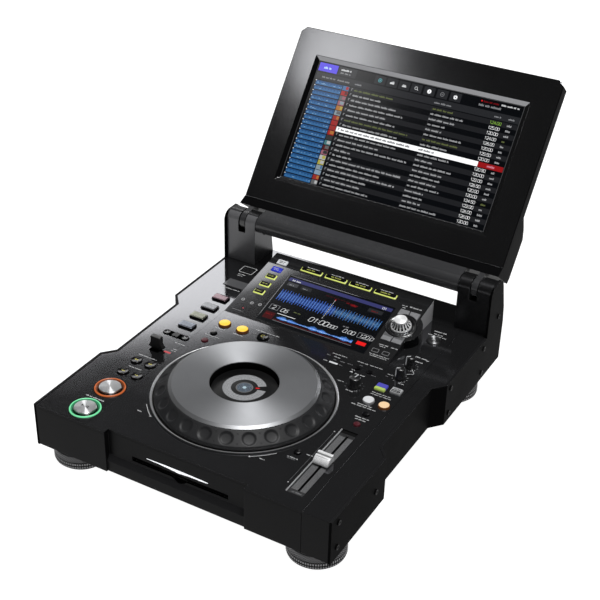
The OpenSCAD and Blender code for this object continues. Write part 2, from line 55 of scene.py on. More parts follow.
# ---------------------------------------------------------------- dimensions, mm
# Drawing frame: X from the middle, Y back from the front face, Z up from the table.
Y0 = 299.8265
DZ = 80.6                                   # deck surface
LID_A = math.radians(52.52)
CREASE = (438.65, 157.14)
AXLE = (411.0, 138.5)
HS_A = math.radians(13.854)
HS_Y = 280.5
JOG = (1.3, 139.2)
PLAY, CUE = (-137.0, 24.2), (-137.3, 70.2)
TRK = [(-144.7, 131.4), (-124.9, 131.6), (-144.7, 104.6), (-124.9, 104.8)]
HOT_X, HOT_Y = -136.4, (302, 276.4, 251, 225.8)
CALL = (-136.2, 201.3)
BANK = [(-100, 229.6), (-100.3, 210.4)]
LOOPS = [(-99.2, 253.6), (-73.3, 253.3)]
RELOOP = (-43.6, 253)
LEVER = (-139.3, 165.5)
FADER = (137.3, 81.4)
EJECT = (137.6, 357)
K_REL, K_TCH, K_ADJ = (137.3, 291.4), (137.3, 263.6), (99.6, 221.6)
SYNC, MODE = (127.4, 235.2), (145.8, 237.3)
KWH, KTN = (126.6, 204.6), (146.4, 204.2)
TEMPO_K = [(136.2, 179.4), (136.2, 157.9), (105, 80.4)]
MEM_K = [(85.9, 255.2), (101.8, 255.2)]
CARD, USB = (-139.2, 343.3), (-145.4, 382.2)
SEL = (98.9, 64.5)
SCR = (3, 47.5, 151.6, 86.2)
SRC_X, SRC_S = -94.1, (107.5, 93, 78.4, 62.8, 48)
MENU_X, MENU_S = (-50.4, -14.8, 20.4, 56), 107.7
SELK = [(91.9, 85.6, 12.6, 12.2), (105.9, 85.6, 12.6, 12.2), (91.9, 41.6, 12.6, 13.2), (105.9, 41.6, 12.6, 13.2)]
FEET = [(-156, 36.3), (156, 36.3), (-156, 381.8), (156, 381.8)]

S = Matrix.Scale(0.001, 4)
M0 = S @ Matrix.Translation((0, -Y0, 0))
MLID = M0 @ Matrix.Translation((0, CREASE[0], CREASE[1])) @ Matrix.Rotation(LID_A, 4, 'X')
MHS = M0 @ Matrix.Translation((0, HS_Y, DZ)) @ Matrix.Rotation(HS_A, 4, 'X')


def at(x, y, z=0.0):
    return M0 @ Matrix.Translation((x, y, z))


# ---------------------------------------------------------------- materials
def new_mat(name):
    m = bpy.data.materials.new(name)
    m.use_nodes = True
    nt = m.node_tree
    b = nt.nodes["Principled BSDF"]
    return m, nt, b


def noise(nt, scale, detail=3.0, rough=0.55, coord=None):
    n = nt.nodes.new("ShaderNodeTexNoise")
    n.inputs["Scale"].default_value = scale
    n.inputs["Detail"].default_value = detail
    n.inputs["Roughness"].default_value = rough
    if coord is None:
        coord = nt.nodes.new("ShaderNodeTexCoord").outputs["Object"]
    nt.links.new(coord, n.inputs["Vector"])
    return n


def ramp(nt, fac, a, b, p0=0.3, p1=0.7):
    r = nt.nodes.new("ShaderNodeMapRange")
    r.inputs["From Min"].default_value = p0
    r.inputs["From Max"].default_value = p1
    r.inputs["To Min"].default_value = a
    r.inputs["To Max"].default_value = b
    nt.links.new(fac, r.inputs["Value"])
    return r.outputs["Result"]


def mixc(nt, fac, c1, c2):
    m = nt.nodes.new("ShaderNodeMix")
    m.data_type = "RGBA"
    m.inputs[6].default_value = (*c1, 1)
    m.inputs[7].default_value = (*c2, 1)
    nt.links.new(fac, m.inputs[0])
    return m.outputs[2]


def bump(nt, b, height, strength, dist=0.0002):
    bp = nt.nodes.new("ShaderNodeBump")
    bp.inputs["Strength"].default_value = strength
    bp.inputs["Distance"].default_value = dist
    nt.links.new(height, bp.inputs["Height"])
    nt.links.new(bp.outputs["Normal"], b.inputs["Normal"])
    return bp


def coated(name, c1, c2, r0, r1, metal=0.0, grain=2600.0, gs=0.25, spec=0.5, coat=0.0, coat_r=0.2, big=14.0, rg=0.04):
    """Painted or moulded surface: slow colour drift, fine grain in height and roughness."""
    m, nt, b = new_mat(name)
    tc = nt.nodes.new("ShaderNodeTexCoord").outputs["Object"]
    slow = noise(nt, big, 4, 0.6, tc)
    fine = noise(nt, grain, 2, 0.5, tc)
    b.inputs["Metallic"].default_value = metal
    b.inputs["Specular IOR Level"].default_value = spec
    b.inputs["Coat Weight"].default_value = coat
    b.inputs["Coat Roughness"].default_value = coat_r
    nt.links.new(mixc(nt, slow.outputs["Fac"], c1, c2), b.inputs["Base Color"])
    add = nt.nodes.new("ShaderNodeMath"); add.operation = "ADD"
    nt.links.new(ramp(nt, slow.outputs["Fac"], r0, r1), add.inputs[0])
    nt.links.new(ramp(nt, fine.outputs["Fac"], -rg, rg), add.inputs[1])
    nt.links.new(add.outputs[0], b.inputs["Roughness"])
    if gs:
        bump(nt, b, fine.outputs["Fac"], gs, 0.00006)
    return m


def spun(name, centre, M, c1, c2, rough=0.28, aniso=0.75, rings=900.0, amp=0.10, metal=1.0, col_amp=0.5):
    """Metal turned about an axis through centre: rings of fine brushing round the axis."""
    m, nt, b = new_mat(name)
    tc = nt.nodes.new("ShaderNodeTexCoord").outputs["Object"]
    c = M @ Vector(centre)
    ax = (M.to_3x3() @ Vector((0, 0, 1))).normalized()
    sub = nt.nodes.new("ShaderNodeVectorMath"); sub.operation = "SUBTRACT"
    sub.inputs[1].default_value = c
    nt.links.new(tc, sub.inputs[0])
    # radius from the axis
    cr = nt.nodes.new("ShaderNodeVectorMath"); cr.operation = "CROSS_PRODUCT"
    cr.inputs[1].default_value = ax
    nt.links.new(sub.outputs[0], cr.inputs[0])
    ln = nt.nodes.new("ShaderNodeVectorMath"); ln.operation = "LENGTH"
    nt.links.new(cr.outputs[0], ln.inputs[0])
    comb = nt.nodes.new("ShaderNodeCombineXYZ")
    nt.links.new(ln.outputs["Value"], comb.inputs[0])
    n = noise(nt, rings, 3, 0.7, comb.outputs[0])
    n2 = noise(nt, 60, 3, 0.5, tc)
    b.inputs["Metallic"].default_value = metal
    b.inputs["Anisotropic"].default_value = aniso
    rad = nt.nodes.new("ShaderNodeVectorMath"); rad.operation = "CROSS_PRODUCT"
    rad.inputs[1].default_value = ax
    nt.links.new(cr.outputs[0], rad.inputs[0])
    tan = nt.nodes.new("ShaderNodeVectorMath"); tan.operation = "NORMALIZE"
    nt.links.new(rad.outputs[0], tan.inputs[0])
    nt.links.new(tan.outputs[0], b.inputs["Tangent"])
    nt.links.new(mixc(nt, ramp(nt, n.outputs["Fac"], 0.5 - col_amp, 0.5 + col_amp, 0.3, 0.7), c1, c2), b.inputs["Base Color"])
    add = nt.nodes.new("ShaderNodeMath"); add.operation = "ADD"
    nt.links.new(ramp(nt, n.outputs["Fac"], rough - amp, rough + amp), add.inputs[0])
    nt.links.new(ramp(nt, n2.outputs["Fac"], -0.02, 0.02), add.inputs[1])
    nt.links.new(add.outputs[0], b.inputs["Roughness"])
    bump(nt, b, n.outputs["Fac"], 0.12, 0.00003)
    return m


def lit(name, col, strength, base=None, rough=0.35, fuzz=60.0, amp=0.12):
    """Diffuse plastic with an uneven glow: lit caps and light guides, and the painted highlight over the disc slot."""
    m, nt, b = new_mat(name)
    b.inputs["Base Color"].default_value = (*(base or col), 1)
    b.inputs["Roughness"].default_value = rough
    n = noise(nt, fuzz, 3)
    b.inputs["Emission Color"].default_value = (*col, 1)
    nt.links.new(ramp(nt, n.outputs["Fac"], strength * (1 - amp), strength * (1 + amp)), b.inputs["Emission Strength"])
    n2 = noise(nt, 1800, 2)
    nt.links.new(ramp(nt, n2.outputs["Fac"], rough - 0.05, rough + 0.05), b.inputs["Roughness"])
    bump(nt, b, n2.outputs["Fac"], 0.15, 0.00004)
    return m


def print_ink(name, col, rough=0.5, emit=0.0):
    m, nt, b = new_mat(name)
    n = noise(nt, 900, 3)
    nt.links.new(mixc(nt, n.outputs["Fac"], tuple(c * 0.86 for c in col), col), b.inputs["Base Color"])
    nt.links.new(ramp(nt, n.outputs["Fac"], rough - 0.08, rough + 0.08), b.inputs["Roughness"])
    if emit:
        b.inputs["Emission Color"].default_value = (*col, 1)
        b.inputs["Emission Strength"].default_value = emit
    return m


MAT = {}
MAT["deck"] = coated("deck_finish", (0.190, 0.191, 0.201), (0.222, 0.224, 0.236), 0.078, 0.098, metal=0.955, grain=3000, gs=0.02, spec=0.5, rg=0.012)
MAT["deck_left"] = coated("deck_left_finish", (0.196, 0.197, 0.206), (0.228, 0.230, 0.241), 0.078, 0.098, metal=0.97, grain=3000, gs=0.02, spec=0.5, rg=0.012)
MAT["moulding"] = coated("front_moulding", (0.0026, 0.0026, 0.0029), (0.0038, 0.0038, 0.0042), 0.36, 0.46, grain=1800, gs=0.25, spec=0.06)
# painted light: a lighter copy of the side plate finish for the plates' top faces; painted highlight: a bright copy for
# their sloped top edges
MAT["plate_top"] = coated("side_plate_top", (0.0090, 0.0090, 0.0096), (0.0120, 0.0120, 0.0127), 0.34, 0.42, grain=2400, gs=0.25, spec=0.05)
MAT["plate_edge"] = coated("side_plate_edge", (0.085, 0.085, 0.088), (0.115, 0.115, 0.119), 0.34, 0.42, grain=2400, gs=0.25, spec=0.3)
# painted light: a lighter copy of the front moulding for faces turned down, and sloped faces low on the front
MAT["moulding_low"] = coated("front_moulding_low", (0.0105, 0.0105, 0.0112), (0.0140, 0.0140, 0.0148), 0.36, 0.46, grain=1800, gs=0.25, spec=0.05)
MAT["plate"] = coated("side_plate_finish", (0.0022, 0.0022, 0.0023), (0.0034, 0.0034, 0.0036), 0.34, 0.42, grain=2400, gs=0.25, spec=0.003)
MAT["gasket"] = coated("screen_gasket", (0.050, 0.0502, 0.053), (0.068, 0.0683, 0.071), 0.40, 0.52, grain=1500, gs=0.2, spec=0.3)
MAT["pillar"] = coated("pillar_finish", (0.046, 0.0462, 0.0485), (0.056, 0.0562, 0.0585), 0.26, 0.32, metal=0.9, grain=2400, gs=0.12, spec=0.5)
# painted shade: a darker copy for the right pillar's outer side; painted light: a lighter copy for the left pillar's
# front
MAT["pillar_side"] = coated("pillar_side_finish", (0.011, 0.0112, 0.0122), (0.016, 0.0162, 0.0172), 0.28, 0.34, grain=2400, gs=0.15, spec=0.05)
MAT["pillar_front"] = coated("pillar_front_finish", (0.120, 0.1203, 0.125), (0.145, 0.1453, 0.151), 0.28, 0.34, metal=0.2, grain=2400, gs=0.12, spec=0.3)
MAT["lid"] = coated("lid_finish", (0.205, 0.206, 0.214), (0.240, 0.242, 0.251), 0.104, 0.124, metal=0.985, grain=2800, gs=0.02, spec=0.5, rg=0.012)
MAT["shell"] = coated("lid_shell_finish", (0.0030, 0.0030, 0.0033), (0.0045, 0.0045, 0.0049), 0.28, 0.36, grain=2600, gs=0.15, spec=0.003)
MAT["barrel"] = coated("hinge_barrel_finish", (0.032, 0.0323, 0.0342), (0.040, 0.0403, 0.0422), 0.22, 0.30, grain=2600, gs=0.12, spec=0.42)
MAT["housing"] = coated("housing_satin", (0.350, 0.352, 0.366), (0.400, 0.403, 0.418), 0.055, 0.072, metal=0.975, grain=2200, gs=0.006, spec=0.5, rg=0.008)
MAT["housing_black"] = coated("housing_gloss_black", (0.0034, 0.0034, 0.0040), (0.0048, 0.0048, 0.0055), 0.10, 0.14, grain=1500, gs=0.03, spec=0.35)
MAT["housing_side"] = coated("housing_side_paint", (0.45, 0.45, 0.457), (0.55, 0.55, 0.558), 0.30, 0.40, metal=0.0, grain=2400, gs=0.15)
def _side_painted_shade_fade(m, y0, y1):
    """Painted shade: darker towards the front end, where the wall turns into the knob's bulge."""
    nt = m.node_tree; b = nt.nodes["Principled BSDF"]
    src = b.inputs["Base Color"].links[0].from_socket
    sep = nt.nodes.new("ShaderNodeSeparateXYZ")
    nt.links.new(nt.nodes.new("ShaderNodeTexCoord").outputs["Object"], sep.inputs[0])
    mr = nt.nodes.new("ShaderNodeMapRange"); mr.interpolation_type = "SMOOTHSTEP"
    mr.inputs[1].default_value = y0; mr.inputs[2].default_value = y1
    nt.links.new(sep.outputs[1], mr.inputs[0])
    nt.links.new(mixc(nt, mr.outputs[0], (0.006, 0.006, 0.007), (0.5, 0.5, 0.508)), b.inputs["Base Color"])
_side_painted_shade_fade(MAT["housing_side"], (340 - 299.8265) / 1000, (362 - 299.8265) / 1000)
MAT["pan"] = coated("pan_powder", (0.03, 0.03, 0.031), (0.04, 0.04, 0.041), 0.45, 0.6, grain=900, gs=0.5)
MAT["socket"] = coated("socket_plastic", (0.01, 0.01, 0.011), (0.014, 0.014, 0.015), 0.35, 0.5, grain=1200, gs=0.2)
MAT["key"] = coated("key_gloss_black", (0.0026, 0.0026, 0.0030), (0.0044, 0.0044, 0.0050), 0.12, 0.18, grain=900, gs=0.04, spec=0.45)
MAT["knob"] = coated("knob_black", (0.0060, 0.0060, 0.0066), (0.0095, 0.0095, 0.0102), 0.24, 0.34, grain=1500, gs=0.15, spec=0.9)
MAT["rubber"] = coated("pad_rubber", (0.012, 0.012, 0.012), (0.02, 0.02, 0.02), 0.7, 0.85, grain=900, gs=0.6)
MAT["pin"] = coated("pin_steel", (0.55, 0.55, 0.56), (0.62, 0.62, 0.63), 0.22, 0.34, metal=1.0, grain=1800, gs=0.2)
MAT["foot"] = coated("foot_metal", (0.20, 0.20, 0.204), (0.28, 0.28, 0.285), 0.36, 0.48, metal=0.5, grain=1500, gs=0.25, big=40)
# painted shade: a darker copy of the foot metal for the upper rows under the body, and near-black for the knurl grooves
MAT["foot_upper"] = coated("foot_metal_painted_shade_upper", (0.10, 0.10, 0.103), (0.14, 0.14, 0.144), 0.36, 0.48, metal=0.5, grain=1500, gs=0.25, big=40)
MAT["foot_groove"] = coated("foot_knurl_painted_shade_groove", (0.0035, 0.0035, 0.0037), (0.006, 0.006, 0.0063), 0.45, 0.6, metal=0.0, grain=1500, gs=0.25, big=40, spec=0.1)
MAT["trim"] = coated("trim_silver", (0.80, 0.805, 0.82), (0.90, 0.905, 0.92), 0.30, 0.38, metal=0.80, grain=1600, gs=0.12)
MAT["trim_dark"] = coated("trim_dark_edge", (0.045, 0.0455, 0.048), (0.062, 0.0625, 0.065), 0.34, 0.42, metal=0.4, grain=1600, gs=0.12)
MAT["screw"] = coated("screw_black", (0.0020, 0.0020, 0.0021), (0.0035, 0.0035, 0.0036), 0.34, 0.44, grain=900, gs=0.2, spec=0.03)
MAT["cap_eject"] = spun("cap_spun_eject", (EJECT[0], EJECT[1], 83), M0, (0.24, 0.242, 0.247), (0.36, 0.363, 0.37), rough=0.40, aniso=0.86, rings=2600, amp=0.06)
MAT["rim"] = coated("jog_rim_soft", (0.010, 0.0102, 0.0112), (0.0145, 0.0148, 0.0158), 0.46, 0.54, grain=1600, gs=0.18, big=30, spec=0.28)
MAT["rim_pit"] = coated("jog_rim_pits", (0.004, 0.004, 0.0045), (0.007, 0.007, 0.0075), 0.4, 0.5, grain=1200, gs=0.2, spec=0.3)
MAT["well"] = coated("jog_well", (0.0015, 0.0015, 0.0017), (0.0028, 0.0028, 0.0031), 0.35, 0.5, grain=900, gs=0.1, spec=0.25)
MAT["platter"] = spun("platter_spun", (JOG[0], JOG[1], 100), M0, (0.335, 0.341, 0.354), (0.405, 0.411, 0.424), rough=0.68, aniso=0.76, rings=1500, amp=0.03)
MAT["platter_edge"] = spun("platter_edge_cut", (JOG[0], JOG[1], 100), M0, (0.21, 0.214, 0.222), (0.28, 0.284, 0.292), rough=0.44, aniso=0.4, rings=900, amp=0.03, metal=0.9)
MAT["cap_play"] = spun("cap_spun_play", (PLAY[0], PLAY[1], 83), M0, (0.42, 0.425, 0.43), (0.64, 0.645, 0.65), rough=0.34, aniso=0.90, rings=2600, amp=0.08)
MAT["cap_cue"] = spun("cap_spun_cue", (CUE[0], CUE[1], 83), M0, (0.42, 0.425, 0.43), (0.64, 0.645, 0.65), rough=0.34, aniso=0.90, rings=2600, amp=0.08)
MAT["sel"] = spun("selector_spun", (SEL[0], SEL[1], 10), MHS, (0.80, 0.805, 0.81), (0.95, 0.955, 0.96), rough=0.46, aniso=0.5, rings=2600, amp=0.05, metal=0.35)
MAT["chrome"] = coated("selector_chrome", (0.86, 0.865, 0.87), (0.94, 0.945, 0.95), 0.20, 0.30, metal=0.30, grain=1500, gs=0.08)
# painted shade: near-black for the faces in the selector's flute channels
MAT["flute"] = coated("selector_painted_shade_flutes", (0.010, 0.0102, 0.011), (0.03, 0.0305, 0.032), 0.2, 0.3, metal=0.4, grain=1500, gs=0.1)
MAT["fader_silver"] = coated("fader_knob_silver", (0.80, 0.805, 0.81), (0.88, 0.885, 0.89), 0.24, 0.34, metal=0.25, grain=1500, gs=0.1)
# painted shade: a darker copy of the fader silver for the knob's groove and a stripe over its hump
MAT["fader_side"] = coated("fader_knob_painted_shade_groove", (0.30, 0.302, 0.305), (0.40, 0.402, 0.405), 0.3, 0.4, metal=0.4, grain=1500, gs=0.1)
MAT["strip"] = coated("fader_strip", (0.010, 0.010, 0.011), (0.015, 0.015, 0.016), 0.3, 0.4, grain=1500, gs=0.3, spec=0.5)
MAT["strip_rib"] = coated("fader_ribs", (0.20, 0.201, 0.206), (0.28, 0.281, 0.287), 0.35, 0.5, grain=1500, gs=0.3)
# near-black for gaps and recesses: painted shade
MAT["dark"] = coated("gap_painted_shade_black", (0.0008, 0.0008, 0.0008), (0.0018, 0.0018, 0.0018), 0.6, 0.8, grain=900, gs=0.2, spec=0.1)
MAT["k_rose"] = coated("key_rose", (0.190, 0.130, 0.146), (0.225, 0.155, 0.172), 0.13, 0.18, metal=0.75, grain=1200, gs=0.05, rg=0.02)
MAT["k_grey"] = coated("key_grey", (0.200, 0.205, 0.215), (0.238, 0.244, 0.255), 0.13, 0.18, metal=0.75, grain=1200, gs=0.05, rg=0.02)
MAT["k_sel"] = coated("key_selector_grey", (0.185, 0.187, 0.195), (0.235, 0.237, 0.246), 0.26, 0.34, grain=1200, gs=0.1)
MAT["k_sel2"] = coated("key_selector_dark", (0.075, 0.076, 0.080), (0.10, 0.101, 0.105), 0.26, 0.34, grain=1200, gs=0.1)
MAT["k_green"] = coated("key_green", (0.192, 0.199, 0.160), (0.228, 0.236, 0.190), 0.13, 0.18, metal=0.75, grain=1200, gs=0.05, rg=0.02)
MAT["k_blue"] = coated("key_blue", (0.165, 0.180, 0.212), (0.198, 0.215, 0.250), 0.13, 0.18, metal=0.75, grain=1200, gs=0.05, rg=0.02)
MAT["k_yellow"] = lit("key_yellow_lit", (1.0, 0.60, 0.05), 0.30, base=(0.80, 0.50, 0.04), rough=0.22)
MAT["k_amber_rim"] = lit("key_amber_rim", (0.35, 0.10, 0.01), 0.10, base=(0.09, 0.032, 0.006))
MAT["k_white"] = lit("key_white_lit", (0.86, 0.88, 0.9), 0.16, base=(0.52, 0.53, 0.545), rough=0.25)
MAT["k_tan"] = lit("key_tan_lit", (1.0, 0.74, 0.46), 0.26, base=(0.66, 0.46, 0.27), rough=0.25)
MAT["k_indigo"] = lit("key_indigo_lit", (0.06, 0.055, 0.42), 0.42, base=(0.05, 0.05, 0.26))
MAT["k_blue_lit"] = lit("key_blue_lit", (0.012, 0.022, 0.55), 0.55, base=(0.01, 0.02, 0.22))
MAT["k_lime"] = lit("key_lime_lit", (0.42, 0.56, 0.12), 0.30, base=(0.30, 0.40, 0.09))
MAT["lime_edge"] = lit("edge_lime_lit", (0.78, 0.86, 0.22), 0.52, base=(0.42, 0.47, 0.10))
MAT["k_silver"] = coated("key_silver", (0.40, 0.405, 0.415), (0.55, 0.555, 0.565), 0.30, 0.40, metal=0.3, grain=1500, gs=0.12)
MAT["ring_cue"] = lit("glow_cue", (0.95, 0.20, 0.05), 0.34, base=(0.28, 0.08, 0.025), amp=0.2)
MAT["ring_cue_in"] = lit("glow_cue_inner", (0.40, 0.10, 0.03), 0.16, base=(0.10, 0.03, 0.012), amp=0.2)
MAT["ring_play"] = lit("glow_play", (0.22, 0.85, 0.42), 0.60, base=(0.1, 0.4, 0.2), amp=0.2)
MAT["ring_play_in"] = lit("glow_play_inner", (0.06, 0.42, 0.18), 0.32, base=(0.02, 0.12, 0.06), amp=0.2)
MAT["led_red"] = lit("led_red", (0.40, 0.010, 0.022), 0.55, base=(0.25, 0.01, 0.02))
MAT["led_dim"] = lit("key_dark_red", (0.12, 0.010, 0.020), 0.14, base=(0.050, 0.005, 0.009))
# painted highlight: a glow standing in for the light caught on the lip above the disc slot
MAT["slot_painted_highlight"] = lit("slot_painted_highlight", (0.92, 0.95, 1.0), 0.85, base=(0.6, 0.6, 0.6), amp=0.25)
MAT["ink"] = print_ink("print_pale", (0.50, 0.505, 0.51), 0.5)
MAT["ink_dim"] = print_ink("print_dim", (0.16, 0.162, 0.168), 0.5)
MAT["ink_yel"] = print_ink("print_yellow", (0.50, 0.44, 0.10), 0.5)
MAT["ink_red"] = print_ink("print_red", (0.50, 0.05, 0.06), 0.5, 0.05)
MAT["ink_lime"] = print_ink("print_lime", (0.34, 0.36, 0.06), 0.5)
MAT["ring_dark"] = coated("selector_ring_black", (0.0040, 0.0040, 0.0046), (0.0060, 0.0060, 0.0067), 0.20, 0.28, grain=1500, gs=0.08, spec=1.0)
MAT["smoke"] = coated("door_smoke", (0.060, 0.061, 0.064), (0.085, 0.086, 0.090), 0.16, 0.24, grain=900, gs=0.05, spec=0.8)
MAT["board"] = coated("circuit_board", (0.01, 0.09, 0.035), (0.015, 0.12, 0.05), 0.35, 0.5, grain=400, gs=0.3)
MAT["cage"] = coated("zinc_sheet", (0.42, 0.42, 0.42), (0.52, 0.52, 0.51), 0.3, 0.45, metal=0.9, grain=700, gs=0.3, big=30)
MAT["usb_blue"] = print_ink("port_tongue", (0.65, 0.66, 0.67), 0.4)


def screen_mat(name, col, e, rough=0.12):
    m, nt, b = new_mat(name)
    b.inputs["Base Color"].default_value = (*[c * 0.25 for c in col], 1)
    b.inputs["Emission Color"].default_value = (*col, 1)
    # a panel of this kind dims towards grazing view
    lw = nt.nodes.new("ShaderNodeLayerWeight"); lw.inputs["Blend"].default_value = 0.5
    mr = nt.nodes.new("ShaderNodeMapRange")
    for i, t in enumerate((0.30, 0.72, e, e * 0.10)):
        mr.inputs[1 + i].default_value = t
    nt.links.new(lw.outputs["Facing"], mr.inputs[0])
    nt.links.new(mr.outputs[0], b.inputs["Emission Strength"])
    n = noise(nt, 2200, 2)
    nt.links.new(ramp(nt, n.outputs["Fac"], rough - 0.02, rough + 0.03), b.inputs["Roughness"])
    return m


UIM = {
    "bg": screen_mat("ui_black", (0.004, 0.005, 0.007), 0.35),
    "panel": screen_mat("ui_panel", (0.020, 0.021, 0.024), 0.8),
    "panel2": screen_mat("ui_panel2", (0.045, 0.047, 0.052), 0.9),
    "grey": screen_mat("ui_grey", (0.22, 0.225, 0.235), 0.9),
    "text": screen_mat("ui_text", (0.62, 0.63, 0.64), 0.9),
    "white": screen_mat("ui_white", (0.92, 0.93, 0.94), 0.95),
    "blue": screen_mat("ui_blue", (0.03, 0.13, 0.36), 0.95),
    "blue2": screen_mat("ui_blue2", (0.10, 0.30, 0.66), 0.95),
    "blue3": screen_mat("ui_blue3", (0.45, 0.66, 0.90), 0.95),
    "wave": screen_mat("ui_wave", (0.045, 0.125, 0.50), 1.0),
    "wave2": screen_mat("ui_wave2", (0.12, 0.26, 0.72), 1.0),
    "indigo": screen_mat("ui_indigo", (0.085, 0.06, 0.66), 0.95),
    "wave_r": screen_mat("ui_wave_r", (0.035, 0.12, 0.34), 1.0),
    "wave_r2": screen_mat("ui_wave_r2", (0.09, 0.24, 0.52), 1.0),
    "dred2": screen_mat("ui_darker_red", (0.045, 0.003, 0.004), 0.9),
    "dgreen": screen_mat("ui_dull_green", (0.11, 0.13, 0.045), 0.9),
    "navy": screen_mat("ui_navy", (0.032, 0.034, 0.12), 1.0),
    "red": screen_mat("ui_red", (0.72, 0.012, 0.012), 0.95),
    "red2": screen_mat("ui_red2", (0.60, 0.035, 0.03), 0.9),
    "dred": screen_mat("ui_dark_red", (0.16, 0.004, 0.006), 0.9),
    "green": screen_mat("ui_green", (0.28, 0.55, 0.06), 0.85),
    "yellow": screen_mat("ui_yellow", (0.85, 0.75, 0.12), 0.85),
    "orange": screen_mat("ui_orange", (0.85, 0.32, 0.05), 0.85),
    "teal": screen_mat("ui_teal", (0.10, 0.36, 0.40), 0.85),
    "pale": screen_mat("ui_pale", (0.48, 0.62, 0.70), 0.85),
    "rose": screen_mat("ui_rose", (0.62, 0.22, 0.30), 0.85),
    "slate": screen_mat("ui_slate", (0.15, 0.19, 0.24), 0.9),
    "lblue": screen_mat("ui_list_blue", (0.014, 0.062, 0.170), 0.95),
    "lblue2": screen_mat("ui_list_blue2", (0.034, 0.130, 0.300), 0.95),
    "lblue3": screen_mat("ui_list_blue3", (0.20, 0.34, 0.50), 0.95),
    "ltext": screen_mat("ui_list_text", (0.33, 0.335, 0.345), 0.9),
    "lpanel": screen_mat("ui_list_panel", (0.013, 0.0135, 0.0155), 0.9),
    "sred": screen_mat("ui_selected_red", (0.26, 0.007, 0.009), 0.95),
}
for _k in ("blue2", "red", "grey", "rose", "orange", "pale", "red2", "panel2", "teal", "dred", "white", "yellow", "blue3"):
    _c = UIM[_k].node_tree.nodes["Principled BSDF"].inputs["Emission Color"].default_value
    UIM["art_" + _k] = screen_mat("ui_art_" + _k, (_c[0] * 0.42 + 0.01, _c[1] * 0.42 + 0.01, _c[2] * 0.42 + 0.01), 0.9)


# ---------------------------------------------------------------- mesh building
def finish_mesh(obj, angle=38.0, bevel=0.0, segs=2, weld=False, bev_ang=30.0, dissolve=True):
    me = obj.data
    bm = bmesh.new(); bm.from_mesh(me)
    if weld:
        bmesh.ops.remove_doubles(bm, verts=bm.verts, dist=2e-6)
        if dissolve:
            bmesh.ops.dissolve_limit(bm, angle_limit=math.radians(0.6), verts=bm.verts, edges=bm.edges)
    bmesh.ops.recalc_face_normals(bm, faces=bm.faces)
    bm.to_mesh(me); bm.free()
    if bevel > 0:
        md = obj.modifiers.new("bevel", "BEVEL")
        md.width = bevel * 0.001; md.segments = segs
        md.limit_method = "ANGLE"; md.angle_limit = math.radians(bev_ang)
        md.use_clamp_overlap = True; md.harden_normals = False
        md.miter_outer = "MITER_ARC"
    if bevel > 0:
        dg = bpy.context.evaluated_depsgraph_get()
        new = bpy.data.meshes.new_from_object(obj.evaluated_get(dg))
        obj.modifiers.clear()
        old = obj.data; obj.data = new
        bpy.data.meshes.remove(old)
        me = obj.data
    me.shade_smooth()
    me.set_sharp_from_angle(angle=math.radians(angle))
    if bevel > 0:
        md = obj.modifiers.new("wn", "WEIGHTED_NORMAL")
        md.keep_sharp = True; md.weight = 80
        dg = bpy.context.evaluated_depsgraph_get()
        new = bpy.data.meshes.new_from_object(obj.evaluated_get(dg))
        obj.modifiers.clear()
        old = obj.data; obj.data = new
        bpy.data.meshes.remove(old)
    return obj


def put(name, verts, faces, M, body, mat, replaces=(), slot=None, angle=38.0, bevel=0.0, segs=2,
        mats=None, fmat=None, bev_ang=30.0):
    me = bpy.data.meshes.new(name)
    me.from_pydata([M @ Vector(v) for v in verts], [], faces)
    for m in (mats or [mat]):
        me.materials.append(m)
    if fmat:
        for p, k in zip(me.polygons, fmat):
            p.material_index = k
    me.update()
    o = bpy.data.objects.new(name, me)
    bpy.context.scene.collection.objects.link(o)
    finish_mesh(o, angle, bevel, segs, bev_ang=bev_ang)
    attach(o, body)
    if replaces:
        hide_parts(*replaces)
    return o


def mesh_area(me):
    bm = bmesh.new(); bm.from_mesh(me)
    bmesh.ops.triangulate(bm, faces=bm.faces)
    a = sum(f.calc_area() for f in bm.faces)
    bm.free()
    return a


def cad(node, mat, bevel=0.4, segs=2, angle=38.0, bev_ang=30.0, name=None):
    """The CAD node's own shape with its sharp edges eased."""
    src = frame["nodes"][node]
    want = mesh_area(src.data)
    for dissolve, bev in ((True, bevel), (False, bevel), (False, bevel * 0.4), (False, 0.0)):
        me = src.data.copy()
        me.materials.clear(); me.materials.append(mat)
        o = bpy.data.objects.new(name or node + "_eased", me)
        bpy.context.scene.collection.objects.link(o)
        for p in me.polygons:
            p.material_index = 0
        finish_mesh(o, angle, bev, segs, weld=True, bev_ang=bev_ang, dissolve=dissolve)
        if 0.955 < mesh_area(o.data) / want < 1.004:
            break
        me = o.data
        bpy.data.objects.remove(o); bpy.data.meshes.remove(me)
    print("eased", node, dissolve, bev)
    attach(o, src["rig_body"])
    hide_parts(node)
    return o


def recolour(node, mat):
    me = frame["nodes"][node].data
    me.materials.clear(); me.materials.append(mat)
    for p in me.polygons:
        p.material_index = 0


